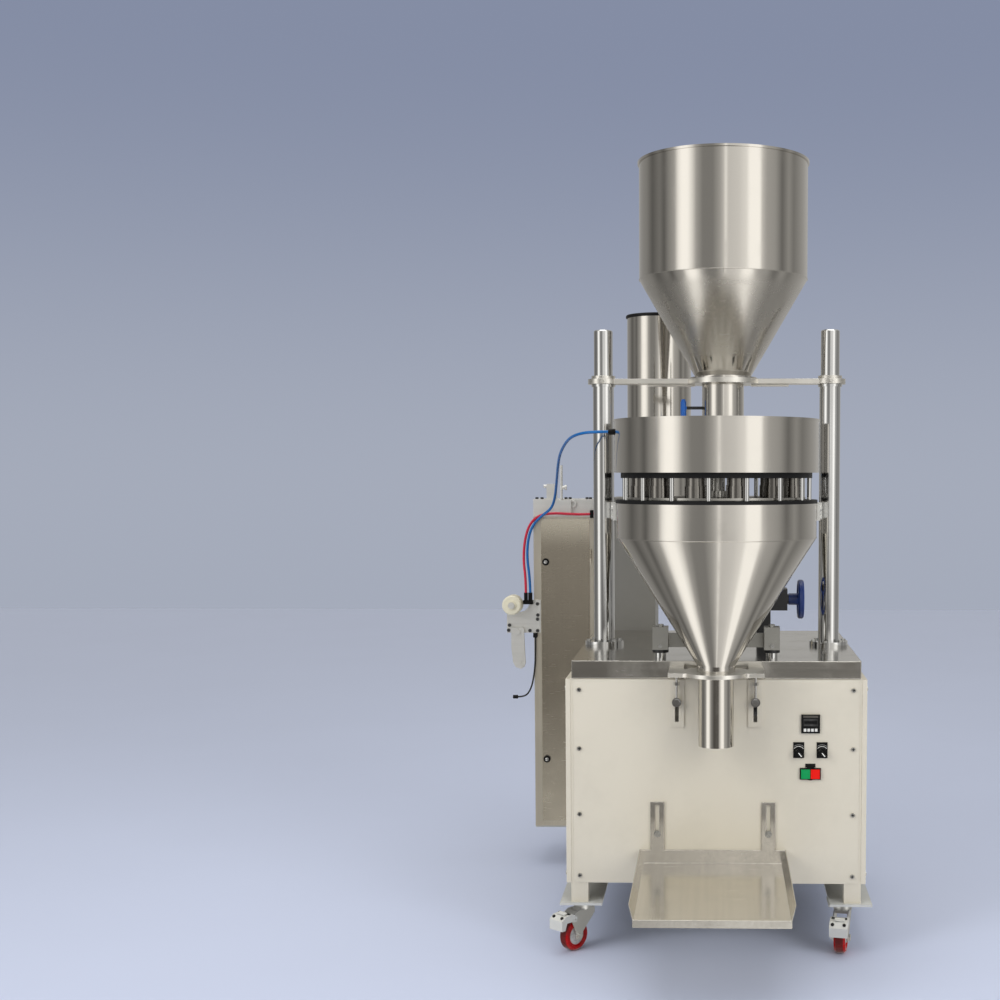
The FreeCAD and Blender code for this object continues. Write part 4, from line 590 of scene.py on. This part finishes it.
def cord(name, route, radius, length, node, finish):
    """A smooth round cord along its route, which stands for the cord in the model."""
    curve = bpy.data.curves.new(name, "CURVE")
    curve.dimensions = "3D"
    curve.bevel_depth = radius / 1000
    curve.bevel_resolution = 6
    curve.resolution_u = 16
    curve.use_fill_caps = True
    spline = curve.splines.new("NURBS")
    spline.points.add(len(route) - 1)
    for point, spot in zip(spline.points, route):
        point.co = (*place(*spot), 1.0)
    spline.order_u = 3
    spline.use_endpoint_u = True
    curve.materials.append(finish)
    piece = bpy.data.objects.new(name, curve)
    bpy.context.scene.collection.objects.link(piece)
    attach(piece, "machine")
    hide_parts(node)
    print(name, "length", length, "mm, radius", radius, "mm")
    return piece


blue_line = cord(
    "blue_air_hose", BLUE_ROUTE, 4, 1012, "blue_hose", blue_hose_skin
)
red_line = cord(
    "red_air_hose", RED_ROUTE, 4, 416, "red_hose", red_hose_skin
)
bpy.ops.object.select_all(action="DESELECT")
bpy.ops.mesh.primitive_cylinder_add(
    vertices=32, radius=0.0058, depth=0.0152, location=place(-629, 774, 546),
    rotation=(0, math.radians(90), 0),
)
lead_plug = bpy.context.object
lead_plug.name = "lead_plug"
bpy.ops.object.transform_apply(location=True, rotation=True, scale=True)
bpy.ops.object.mode_set(mode="EDIT")
bpy.ops.mesh.select_mode(type="FACE")
bpy.ops.mesh.select_all(action="DESELECT")
shape = bmesh.from_edit_mesh(lead_plug.data)
for face in shape.faces:
    face.select = abs(face.normal.x) < 0.5 and (round(face.calc_center_median().z * 1e5) % 2) == 0
bmesh.update_edit_mesh(lead_plug.data)
bpy.ops.mesh.inset(thickness=0.00015, depth=-0.00025, use_individual=True)
bpy.ops.object.mode_set(mode="OBJECT")
rounding = lead_plug.modifiers.new("rounding", "BEVEL")
rounding.width = 0.0006
rounding.segments = 3
rounding.limit_method = "ANGLE"
rounding.angle_limit = math.radians(50)
bpy.ops.object.modifier_apply(modifier=rounding.name)
bpy.ops.object.shade_smooth_by_angle(angle=math.radians(35))
lead_plug.data.materials.append(black_plastic)
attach(lead_plug, "machine")
lead_line = cord(
    "black_sensor_lead", LEAD_ROUTE, 2.5, 216, "sensor_lead", black_sheath,
)

# %% [markdown]
# ## Giving each part of the model its finish
# The model's own meshes keep their shape. Each gets one of the materials above, and a few that
# hold two finishes get one that changes at a place, such as the wheel's tyre and hub.

# %% Finish at a distance from an axle


def wheel_finish(name, axle, turned):
    """A red tyre outside a grey hub, by the distance from a level axle through a point."""
    finish = Finish(name, 0.0, 0.35)
    finish.shader.inputs["Specular IOR Level"].default_value = 0.3
    centre = finish.nodes.new("ShaderNodeVectorMath")
    centre.operation = "SUBTRACT"
    centre.inputs[1].default_value = axle
    finish.links.new(finish.where.outputs["Object"], centre.inputs[0])
    away = finish.nodes.new("ShaderNodeVectorMath")
    away.operation = "CROSS_PRODUCT"
    away.inputs[1].default_value = (math.cos(turned), math.sin(turned), 0)
    finish.links.new(centre.outputs[0], away.inputs[0])
    reach = finish.nodes.new("ShaderNodeVectorMath")
    reach.operation = "LENGTH"
    finish.links.new(away.outputs[0], reach.inputs[0])
    radius = reach.outputs["Value"]
    hands = finish.put(marks, Size=30.0)
    settled_dust = finish.put(dust, Amount=0.1)
    hub = finish.mix(hands["Marks"], HUB_GREY, colour(120, 122, 122))
    tyre = finish.mix(hands["Marks"], RED_TYRE, colour(128, 8, 12))
    base = finish.mix(ramp(finish.tree, radius, HUB_EDGE - 0.0004, HUB_EDGE + 0.0004), hub, tyre)
    tread = sum_up(finish.tree, "MULTIPLY", ramp(finish.tree, radius, 0.0385, 0.0398), 0.75)
    base = finish.mix(tread, base, colour(70, 34, 32))
    base = finish.mix(settled_dust["Dust"], base, colour(120, 104, 96))
    finish.feed("Base Color", base)
    finish.feed("Roughness", finish.spread(hands["Marks"], 0.26, 0.5))
    scuffs = noise(finish.tree, finish.where.outputs["Object"], 500.0, 3.0)
    finish.bump(scuffs, 0.00008, 0.5)
    return finish.material


def middle_of(node):
    """The middle of a node's box."""
    low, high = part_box(node)
    return (low + high) / 2


RED_TYRE = colour(184, 0, 8)
HUB_GREY = colour(206, 206, 202)
HUB_EDGE = 0.024
WHEEL_TURN = {
    "front_wheel_left": 140, "front_wheel_right": 168, "rear_wheel_left": 0, "rear_wheel_right": 0
}
wheel_finishes = {}
for wheel, degrees in WHEEL_TURN.items():
    wheel_finishes[wheel] = wheel_finish(
        "red tyre, " + wheel.replace("_", " "), middle_of(wheel), math.radians(degrees)
    )
    print(wheel, "axle at", [round(v, 3) for v in middle_of(wheel)])

# %% Two finishes on one piece


def parted(name, first, second, across, level):
    """Two finishes on one piece, told apart by how far a point lies across it."""
    finish = Finish(name, 0.0, 0.4)
    along = finish.nodes.new("ShaderNodeVectorMath")
    along.operation = "DOT_PRODUCT"
    along.inputs[1].default_value = across
    finish.links.new(finish.where.outputs["Object"], along.inputs[0])
    beyond = ramp(finish.tree, along.outputs["Value"], level - 0.0002, level + 0.0002)
    hands = finish.put(marks, Size=22.0)
    settled_dust = finish.put(dust, Amount=0.3)
    tones = []
    for tone, _, _ in (first, second):
        paler = tuple(min(1.0, c * 1.3 + 0.012) for c in tone[:3]) + (1.0,)
        tones.append(finish.mix(hands["Scratches"], tone, paler))
    base = finish.mix(beyond, *tones)
    base = finish.mix(settled_dust["Dust"], base, colour(150, 146, 138))
    finish.feed("Base Color", base)
    finish.feed("Metallic", finish.spread(beyond, first[1], second[1]))
    rough = finish.spread(beyond, first[2], second[2])
    worn = sum_up(finish.tree, "MULTIPLY", hands["Marks"], 0.12)
    finish.feed("Roughness", sum_up(finish.tree, "ADD", rough, worn))
    skin = noise(finish.tree, finish.where.outputs["Object"], 1600.0, 2.0)
    finish.bump(skin, 0.00003, 0.6)
    return finish.material


BLUE = (colour(24, 92, 176), 0.0, 0.3)
BLACK = (colour(28, 28, 29), 0.0, 0.4)
CAST_GREY = (colour(168, 167, 162), 1.0, 0.34)
COLLAR_TOP = 790
sensor_finish = parted(
    "blue sensor on a black arm", BLUE, BLACK, (1, 0, 0), place(-83, 0, 0).x
)
block_finish = parted(
    "grey block on a black collar", BLACK, CAST_GREY, (0, 0, 1), place(0, 0, COLLAR_TOP).z
)
print("pieces with two finishes: level sensor, post blocks")

# %% Finish of each node
FINISHES = {
    spun_steel: "dosing_drum discharge_pipe forming_tube",
    hopper_steel: "upper_hopper",
    catch_steel: "lower_hopper",
    cover_steel: "top_cover",
    tray_steel: "bag_tray",
    brushed_sheet: "cabinet_door",
    highlit_body_sheet: "cabinet_body",
    chrome: "eye_bolts columns guide_posts spacer_posts",
    bright_plate: "outlet_bracket cross_beam",
    fork_zinc: "front_fork_left front_fork_right rear_castor_forks",
    matte_disc_painted_light: "upper_cup_disc",
    satin_plate: "hopper_arms roller_bracket tension_arm cabinet_top",
    turned_metal: "drive_shaft drive_column lower_cup_disc",
    sensor_finish: "level_sensor",
    block_finish: "post_blocks",
    zinc: "hex_bolts panel_screws",
    shaded_cup_steel: "lower_cups upper_cups",
    ivory_coat: "front_panel cover_panels base_frame",
    grey_coat: "chassis_skids",
    post_coat: "rear_frame",
    black_oxide: "adjuster_box",
    motor_coat: "drive_motor",
    black_plastic: "counter_body switch_bezels knob_left knob_right latch_upper latch_lower"
    " hose_fittings",
    seal_rubber: "sealing_plates",
    green_plastic: "button_green",
    red_plastic: "button_red",
    ivory_plastic: "film_roller",
    pedal_plastic: "pedal_left pedal_right",
    navy_plastic: "handwheel",
}


def give(node, material):
    """Puts one material on a node of the model."""
    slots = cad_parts[node].data.materials
    slots.clear()
    slots.append(material)


for material, names in FINISHES.items():
    for name in names.split():
        give(name, material)
for name, material in wheel_finishes.items():
    give(name, material)
named = " ".join(FINISHES.values())
bare = [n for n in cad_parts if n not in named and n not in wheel_finishes]
print("still without a finish:", bare)

# %% [markdown]
# ## Small pieces that only the eye needs
# The counter has a dark glass window, a grey name bar with nothing on it and four pale keys. The
# selectors carry a white line, the latches a chrome key slot, and the tall tube a rubber rim.
# Each starts as a plain solid at its size and place, and its faces and edges are then worked.

# %% Tools for a new piece


def begin(name):
    """Leaves nothing selected, so that the next new solid is worked alone."""
    bpy.ops.object.select_all(action="DESELECT")
    return name


def box_at(x, y, z, wide, deep, high, turned=0.0):
    """A box with its middle at a place, turned about the level line to the viewer."""
    bpy.ops.mesh.primitive_cube_add(size=1, location=place(x, y, z), rotation=(0, turned, 0))
    bpy.context.object.scale = (wide / 1000, deep / 1000, high / 1000)
    bpy.ops.object.transform_apply(location=True, rotation=True, scale=True)
    return bpy.context.object


def pick_faces(piece, wanted):
    """Selects the faces that pass a test, and stays in edit mode."""
    bpy.ops.object.mode_set(mode="EDIT")
    bpy.ops.mesh.select_mode(type="FACE")
    bpy.ops.mesh.select_all(action="DESELECT")
    shape = bmesh.from_edit_mesh(piece.data)
    for face in shape.faces:
        face.select = bool(wanted(face))
    bmesh.update_edit_mesh(piece.data)


def to_the_front(face):
    """Tells whether a face looks towards the viewer."""
    return face.normal.y < -0.9


def soften(piece, width, segments=3):
    """Rounds the sharp edges of a piece by a width in millimetres."""
    bevel = piece.modifiers.new("rounding", "BEVEL")
    bevel.width = width / 1000
    bevel.segments = segments
    bevel.limit_method = "ANGLE"
    bpy.ops.object.modifier_apply(modifier=bevel.name)
    bpy.ops.object.shade_smooth_by_angle(angle=math.radians(35))


def hand_over(piece, name, material, body):
    """Names a finished piece, gives it its material and lets it ride on a body."""
    piece.name = name
    piece.data.materials.append(material)
    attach(piece, body)
    print(name, "faces:", len(piece.data.polygons))
    return piece


# %% Counter: window, name bar and keys
window_glass = moulded("dark window glass", colour(12, 13, 15), 0.08, 60.0, 0.000004, coat=0.6)
name_bar_grey = moulded("grey printed bar", colour(84, 80, 74), 0.34, 3000.0, 0.00001, sheen=0.3)
pale_key = moulded("pale membrane key", colour(226, 225, 220), 0.42, 2400.0, 0.00002)

begin("window")
window = box_at(243, -5.4, 606, 37.4, 1.2, 19.4)
pick_faces(window, to_the_front)
bpy.ops.mesh.inset(thickness=0.0012, depth=0)
bpy.ops.mesh.inset(thickness=0.0003, depth=-0.0004)
bpy.ops.object.mode_set(mode="OBJECT")
soften(window, 0.25)
hand_over(window, "counter_window", window_glass, "machine")

begin("name bar")
name_bar = box_at(243, -6.4, 621, 38, 1.4, 5.2)
pick_faces(name_bar, to_the_front)
bpy.ops.mesh.inset(thickness=0.0005, depth=0.0001)
bpy.ops.object.mode_set(mode="OBJECT")
soften(name_bar, 0.3)
hand_over(name_bar, "counter_name_bar", name_bar_grey, "machine")

for index in range(4):
    begin("key")
    key = box_at(228.5 + 9.5 * index, -7.2, 586.5, 6.8, 1.4, 7.8)
    pick_faces(key, to_the_front)
    bpy.ops.mesh.inset(thickness=0.0011, depth=0)
    bpy.ops.transform.translate(value=(0, 0.0003, 0))
    bpy.ops.object.mode_set(mode="OBJECT")
    soften(key, 0.5)
    hand_over(key, "counter_key_%d" % (index + 1), pale_key, "machine")

# %% Selectors: the white pointer line
pointer_white = moulded("white pointer paint", colour(236, 236, 230), 0.4, 2000.0, 0.00001)
LEAN = math.radians(40)
for body, x in (("left_selector", 213), ("right_selector", 273)):
    begin("pointer")
    away = 3.4
    pointer = box_at(
        x + away * math.sin(LEAN), -23.2, 528 - away * math.cos(LEAN), 2.4, 0.9, 12.5, -LEAN
    )
    pick_faces(pointer, to_the_front)
    bpy.ops.mesh.inset(thickness=0.0003, depth=0)
    bpy.ops.object.mode_set(mode="OBJECT")
    soften(pointer, 0.25, 2)
    hand_over(pointer, body + "_pointer", pointer_white, body)

# %% Selectors: printed arcs over the knobs


def arc(name, x, radius, thickness, reach, material):
    """A thin printed arc over a knob, as wide as reach to both sides of its top."""
    begin(name)
    bpy.ops.mesh.primitive_torus_add(
        major_radius=radius / 1000, minor_radius=thickness / 1000, major_segments=120,
        minor_segments=8, location=place(x, -2.1, 528), rotation=(math.radians(90), 0, 0),
    )
    line = bpy.context.object
    bpy.ops.object.transform_apply(location=True, rotation=True, scale=True)
    for way in (-1, 1):
        bpy.ops.object.mode_set(mode="EDIT")
        bpy.ops.mesh.select_all(action="SELECT")
        across = (way * math.cos(reach), 0, -math.sin(reach))
        bpy.ops.mesh.bisect(
            plane_co=place(x, 0, 528), plane_no=across, clear_outer=True, use_fill=True
        )
        bpy.ops.object.mode_set(mode="OBJECT")
    bpy.ops.object.shade_smooth_by_angle(angle=math.radians(40))
    return hand_over(line, name, material, "machine")


printed_grey = moulded("grey printed line", colour(150, 150, 146), 0.4, 2000.0, 0.00001)
for side, x in (("left", 213), ("right", 273)):
    arc(side + "_selector_arc", x, 15.2, 0.75, math.radians(52), pointer_white)
    arc(side + "_selector_scale", x, 19.5, 0.6, math.radians(38), printed_grey)

# %% Latches: a chrome key plug with its slot
for body, z in (("upper_latch", 969), ("lower_latch", 346)):
    begin("key plug")
    bpy.ops.mesh.primitive_cylinder_add(
        vertices=40, radius=0.0056, depth=0.0016, location=place(-533, 781.4, z),
        rotation=(math.radians(90), 0, 0),
    )
    plug = bpy.context.object
    bpy.ops.object.transform_apply(location=True, rotation=True, scale=True)
    pick_faces(plug, to_the_front)
    bpy.ops.mesh.inset(thickness=0.001, depth=0)
    bpy.ops.mesh.inset(thickness=0.0022, depth=-0.0007)
    bpy.ops.object.mode_set(mode="OBJECT")
    soften(plug, 0.3)
    hand_over(plug, body + "_key_plug", chrome, body)

# %% [markdown]
# ## Screw recesses and black screws
# The panels are held by pan head screws whose cross recess reads as a dark dot from a distance. A
# black cross laid on each head is that dot, as painted shade.
# The bracket and the top block of the rear unit carry blackened screws. One of each is made at
# its first place, and the others are copies, each with a mesh of its own.

# %% One piece at many places


def copies(piece, steps):
    """Copies a piece by steps in millimetres, each copy with its own mesh."""
    for index, step in enumerate(steps):
        twin = piece.copy()
        twin.data = piece.data.copy()
        twin.data.transform(Matrix.Translation(Vector(step) / 1000))
        twin.name = "%s_%d" % (piece.name, index + 2)
        bpy.context.scene.collection.objects.link(twin)
        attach(twin, "machine")
    print(piece.name, "copies:", len(steps))


# %% Cross recesses
SCREW_X = 353
SCREW_HEIGHTS = (688.6, 535.6, 364, 202.5)
# The black cross on the screw head is painted shade in its cross recess.
begin("recess")
recess = box_at(-SCREW_X, -4.1, SCREW_HEIGHTS[0], 2.0, 0.6, 2.0)
pick_faces(recess, lambda face: abs(face.normal.y) < 0.5)
bpy.ops.mesh.extrude_faces_move(TRANSFORM_OT_shrink_fatten={"value": 0.0026})
bpy.ops.object.mode_set(mode="OBJECT")
soften(recess, 0.2, 2)
hand_over(recess, "screw_recess_painted_shade", black_plastic, "machine")
copies(recess, [
    (SCREW_X * side + SCREW_X, 0, z - SCREW_HEIGHTS[0])
    for side in (-1, 1) for z in SCREW_HEIGHTS if (side, z) != (-1, SCREW_HEIGHTS[0])
])

# %% Black screws on the bracket and the top block


def black_screw(name, spot, radius, depth, tilt, faces_out):
    """A socket head with a rounded edge and a round socket."""
    begin(name)
    bpy.ops.mesh.primitive_cylinder_add(
        vertices=36, radius=radius / 1000, depth=depth / 1000, location=place(*spot),
        rotation=(math.radians(tilt), 0, 0),
    )
    screw = bpy.context.object
    bpy.ops.object.transform_apply(location=True, rotation=True, scale=True)
    pick_faces(screw, faces_out)
    bpy.ops.mesh.inset(thickness=0.45 * radius / 1000, depth=0)
    bpy.ops.mesh.inset(thickness=0.0002, depth=-0.0008)
    bpy.ops.object.mode_set(mode="OBJECT")
    soften(screw, 0.5)
    return hand_over(screw, name, black_oxide, "machine")


BRACKET_SCREWS = (
    (-559, 838), (-558, 803), (-559, 790), (-647, 771), (-650, 755), (-583, 754), (-559, 754),
)
x, z = BRACKET_SCREWS[0]
bracket_screw = black_screw("bracket_screw", (x, 779.8, z), 5.3, 3.4, 90, to_the_front)
copies(bracket_screw, [(a - x, 0, b - z) for a, b in BRACKET_SCREWS[1:]])
BEAM_SCREWS = (-561, -545, -470, -457, -404, -393)
beam_screw = black_screw(
    "beam_screw", (BEAM_SCREWS[0], 804, 1168), 4.9, 5.8, 0, lambda face: face.normal.z > 0.9
)
copies(beam_screw, [(x - BEAM_SCREWS[0], 0, 0) for x in BEAM_SCREWS[1:]])

# %% [markdown]
# ## What sits on a brake pedal
# A pressed pedal carries a raised toe plate, a dark rubber strip behind it and two black
# rivets. They are made lying flat beside the pivot pin and then turned with the castor, because
# the fork stands at an angle and one brake is pressed a little further than the other.

# %% Pedal pieces
PEDAL_PIN = Vector((0, 50, 88))
CASTORS = {
    "left": ("brake_left", (-350, 42), 140, 0), "right": ("brake_right", (333, 42), 168, 12),
}


def to_castor(side):
    """The turn and shift from beside the pedal's pin to its place in the scene."""
    _, swivel, yaw, press = CASTORS[side]
    at_swivel = Matrix.Translation(place(*swivel, 0))
    turned = Matrix.Rotation(math.radians(yaw), 4, "Z")
    pin = Matrix.Translation(PEDAL_PIN / 1000)
    return at_swivel @ turned @ pin @ Matrix.Rotation(math.radians(-press), 4, "X")


def pedal_piece(side, name, solid, material):
    """Turns a piece with its castor and lets it ride on the brake."""
    solid.data.transform(to_castor(side))
    return hand_over(solid, side + "_" + name, material, CASTORS[side][0])


def flat_box(middle, size, tilt=0.0):
    """A box beside the pedal's pin, tilted about the pin."""
    bpy.ops.mesh.primitive_cube_add(size=1, location=Vector(middle) / 1000, rotation=(tilt, 0, 0))
    bpy.context.object.scale = Vector(size) / 1000
    bpy.ops.object.transform_apply(location=True, rotation=True, scale=True)
    return bpy.context.object


for side in CASTORS:
    begin("toe plate")
    toe_plate = flat_box((-2, 27, 18.4), (26, 11, 3.4), math.radians(-16))
    pick_faces(toe_plate, lambda face: face.normal.z > 0.9)
    bpy.ops.mesh.inset(thickness=0.0022, depth=0)
    bpy.ops.mesh.inset(thickness=0.0004, depth=-0.0007)
    bpy.ops.object.mode_set(mode="OBJECT")
    soften(toe_plate, 0.9)
    pedal_piece(side, "toe_plate", toe_plate, pedal_plastic)
    begin("rubber strip")
    strip = flat_box((0, 17, 16.4), (40, 6.5, 2.6))
    pick_faces(strip, lambda face: face.normal.z > 0.9)
    bpy.ops.mesh.subdivide(number_cuts=5)
    bpy.ops.mesh.inset(thickness=0.0004, depth=-0.0004, use_individual=True)
    bpy.ops.object.mode_set(mode="OBJECT")
    soften(strip, 0.3, 2)
    pedal_piece(side, "rubber_strip", strip, seal_rubber)
    for number, across in ((1, -15), (2, 15)):
        begin("rivet")
        bpy.ops.mesh.primitive_cylinder_add(
            vertices=28, radius=0.0042, depth=0.004,
            location=Vector((across, 40.4, 10.6)) / 1000, rotation=(math.radians(-36), 0, 0),
        )
        rivet = bpy.context.object
        bpy.ops.object.transform_apply(location=True, rotation=True, scale=True)
        pick_faces(rivet, lambda face: face.normal.z > 0.7)
        bpy.ops.mesh.inset(thickness=0.0016, depth=0.0006)
        bpy.ops.object.mode_set(mode="OBJECT")
        soften(rivet, 0.5)
        pedal_piece(side, "rivet_%d" % number, rivet, black_plastic)

# %% [markdown]
# ## Rubber rim and weld beads
# The tall tube ends in a black rubber edging that is pushed over the sheet. The hopper's shell is
# welded where its cylinder meets its cone, and once more down the cone where the sheet closes.
# The seam was ground, so only a low, uneven bead is left.

# %% Rubber edging on the tall tube
begin("edging")
bpy.ops.mesh.primitive_torus_add(
    major_radius=0.102, minor_radius=0.0034, major_segments=96, minor_segments=14,
    location=place(-182, 905, 1737.5),
)
edging = bpy.context.object
bpy.ops.object.transform_apply(location=True, rotation=True, scale=True)
bpy.ops.object.mode_set(mode="EDIT")
bpy.ops.mesh.select_all(action="SELECT")
bpy.ops.transform.resize(value=(1, 1, 1.5), center_override=place(-182, 905, 1737.5))
bpy.ops.object.mode_set(mode="OBJECT")
bpy.ops.object.shade_smooth()
hand_over(edging, "tube_edging", seal_rubber, "machine")

# %% Weld beads round the hoppers' knees


def uneven(piece, amount, size):
    """Pushes a bead in and out a little, as hand grinding leaves it."""
    clouds = bpy.data.textures.new(piece.name + " clouds", "CLOUDS")
    clouds.noise_scale = size / 1000
    lumps = piece.modifiers.new("lumps", "DISPLACE")
    lumps.texture = clouds
    lumps.texture_coords = "LOCAL"
    lumps.strength = amount / 1000
    bpy.ops.object.modifier_apply(modifier=lumps.name)
    bpy.ops.object.shade_smooth()


begin("knee bead")
bpy.ops.mesh.primitive_torus_add(
    major_radius=0.2321, minor_radius=0.0011, major_segments=220, minor_segments=10,
    location=place(18, 350, 1777),
)
knee_bead = bpy.context.object
bpy.ops.object.transform_apply(location=True, rotation=True, scale=True)
uneven(knee_bead, 0.8, 9)
hand_over(knee_bead, "hopper_knee_bead", spun_steel, "hopper_bridge")

begin("seam bead")
bpy.ops.mesh.primitive_torus_add(
    major_radius=0.2651, minor_radius=0.0012, major_segments=240, minor_segments=10,
    location=place(0, 145, 1075),
)
seam_bead = bpy.context.object
bpy.ops.object.transform_apply(location=True, rotation=True, scale=True)
uneven(seam_bead, 0.8, 9)
hand_over(seam_bead, "catch_seam_bead", spun_steel, "machine")

# %% Weld bead down the cone
begin("cone bead")
bead_top = place(18, 350 - 230.6, 1775)
bead_foot = place(18, 350 - 79.5, 1567)
run = bead_foot - bead_top
bpy.ops.mesh.primitive_cylinder_add(
    vertices=12, radius=0.0013, depth=run.length, location=(bead_top + bead_foot) / 2,
    rotation=run.to_track_quat("Z", "Y").to_euler(),
)
cone_bead = bpy.context.object
bpy.ops.object.transform_apply(location=True, rotation=True, scale=True)
bpy.ops.object.mode_set(mode="EDIT")
bpy.ops.mesh.select_all(action="SELECT")
bpy.ops.mesh.subdivide(number_cuts=30)
bpy.ops.object.mode_set(mode="OBJECT")
uneven(cone_bead, 0.9, 8)
hand_over(cone_bead, "hopper_cone_bead", spun_steel, "hopper_bridge")

# %% [markdown]
# ## Floor, backdrop and lamps
# The machine stands on a pale floor. Polished steel shows the room around it, so the room is a
# ring of bright and dark upright bands: two tall light panels left and right of the camera, a
# wide pale wall between them and dark corners. The bands' directions were read off the bright
# lines on the drum. Soft lamps then light the painted panels, and mirrors don't show them.

# %% Floor


def studio_material(name, tone, bright):
    """A plain pale surface that a camera and a mirror see nearly white."""
    finish = Finish(name, 0.0, 0.9)
    finish.feed("Base Color", finish.mix(
        noise(finish.tree, finish.where.outputs["Object"], 1.5, 2.0),
        tone, tuple(c * 0.97 for c in tone[:3]) + (1.0,),
    ))
    finish.shader.inputs["Emission Strength"].default_value = bright
    return finish.material


bpy.ops.object.select_all(action="DESELECT")
bpy.ops.mesh.primitive_plane_add(size=14, location=(0, 2.0, 0))
floor = bpy.context.object
floor.name = "floor"
floor.data.materials.append(studio_material("pale floor", colour(205, 213, 236), 0.0))
floor.visible_glossy = False

# %% The room that the steel mirrors
BANDS = [
    (-180, 0.28), (-150, 0.24), (-127, 0.2), (-112, 0.1), (-96, 0.18), (-87, 0.1), (-80, 0.22),
    (-69, 0.34), (-63, 0.85), (-58, 1.0), (-49, 1.0), (-42, 0.7), (-37, 0.36), (-28, 0.2),
    (-14, 0.2), (-5, 0.34), (0, 0.5), (3, 0.86), (6, 0.54), (20, 0.6), (31, 0.74), (35, 1.0),
    (50, 1.0), (53, 0.55), (60, 0.36), (74, 0.3), (86, 0.13), (99, 0.26), (110, 0.17),
    (130, 0.26), (150, 0.32), (180, 0.28),
]
ROOM_TONE = (1.0, 0.985, 0.955)

world = bpy.data.worlds.new("studio")
bpy.context.scene.world = world
world.use_nodes = True
sky = world.node_tree
background = sky.nodes["Background"]
background.inputs["Strength"].default_value = 1.55
ray = sky.nodes.new("ShaderNodeTexCoord")
axes = sky.nodes.new("ShaderNodeSeparateXYZ")
sky.links.new(ray.outputs["Generated"], axes.inputs[0])
ahead = sum_up(sky, "MULTIPLY", axes.outputs["Y"], -1.0)
turn = sum_up(sky, "ARCTAN2", axes.outputs["X"], ahead)
share = sum_up(sky, "ADD", sum_up(sky, "DIVIDE", turn, 2 * math.pi), 0.5)
bands = sky.nodes.new("ShaderNodeValToRGB")
bands.color_ramp.interpolation = "LINEAR"
stops = bands.color_ramp.elements
while len(stops) < len(BANDS):
    stops.new(0.5)
for stop, (degrees, light) in zip(stops, BANDS):
    stop.position = (degrees + 180) / 360
    stop.color = (*(light * tone for tone in ROOM_TONE), 1.0)
sky.links.new(share, bands.inputs["Fac"])


def blend(mask, first, second):
    """Goes from one colour to the other over the world where the mask goes from 0 to 1."""
    node = sky.nodes.new("ShaderNodeMix")
    node.data_type = "RGBA"
    sky.links.new(mask, node.inputs[0])
    sky.links.new(first, node.inputs[6])
    if isinstance(second, tuple):
        node.inputs[7].default_value = second
    else:
        sky.links.new(second, node.inputs[7])
    return node.outputs[2]


room = blend(ramp(sky, axes.outputs["Z"], 0.5, 0.9), bands.outputs["Color"], (0.42, 0.42, 0.41, 1))
down = sum_up(sky, "MULTIPLY", axes.outputs["Z"], -1.0)
low = ramp(sky, down, 0.04, 0.12)
deep = sum_up(sky, "SUBTRACT", 1.0, ramp(sky, down, 0.22, 0.31))
sideways = ramp(sky, sum_up(sky, "ABSOLUTE", turn, 0.0), 0.2, 0.5)
skirt = sum_up(sky, "MULTIPLY", sum_up(sky, "MULTIPLY", low, deep), 0.96)
skirt = sum_up(sky, "MULTIPLY", skirt, sum_up(sky, "SUBTRACT", 1.0, sideways))
room = blend(skirt, room, (0.07, 0.065, 0.06, 1))
kind = sky.nodes.new("ShaderNodeLightPath")
above = ramp(sky, axes.outputs["Z"], 0.88, 0.95)
overhead = sum_up(sky, "MULTIPLY", above, kind.outputs["Is Glossy Ray"])
room = blend(overhead, room, (1.9, 1.88, 1.83, 1))
near = sky.nodes.new("ShaderNodeRGB")
near.outputs[0].default_value = (0.243, 0.264, 0.318, 1.0)
backdrop = blend(ramp(sky, axes.outputs["Z"], -0.02, 0.3), near.outputs[0], (0.15, 0.172, 0.24, 1))
seen = blend(kind.outputs["Is Camera Ray"], room, backdrop)
sky.links.new(seen, background.inputs["Color"])
print("bands in the room:", len(BANDS))

# %% Lamps


def lamp(name, where, towards, size, watts, tone=(1, 1, 1)):
    """A soft rectangular lamp at a place, turned towards a point."""
    light = bpy.data.lights.new(name, "AREA")
    light.shape = "RECTANGLE"
    light.size, light.size_y = size
    light.energy = watts
    light.color = tone
    holder = bpy.data.objects.new(name, light)
    holder.location = where
    direction = Vector(towards) - Vector(where)
    holder.rotation_euler = direction.to_track_quat("-Z", "Y").to_euler()
    holder.visible_glossy = False
    bpy.context.scene.collection.objects.link(holder)
    return holder


lamp("soft lamp left", (-2.6, -2.8, 2.6), (0.1, 0, 1.1), (1.6, 2.2), 46)
lamp("soft lamp right", (2.4, -2.6, 2.2), (0.1, 0, 1.0), (1.2, 2.2), 26)
lamp("top lamp", (0.0, -0.4, 4.2), (0.0, 0, 1.0), (2.4, 2.4), 34)
bpy.context.scene.view_settings.view_transform = "Standard"
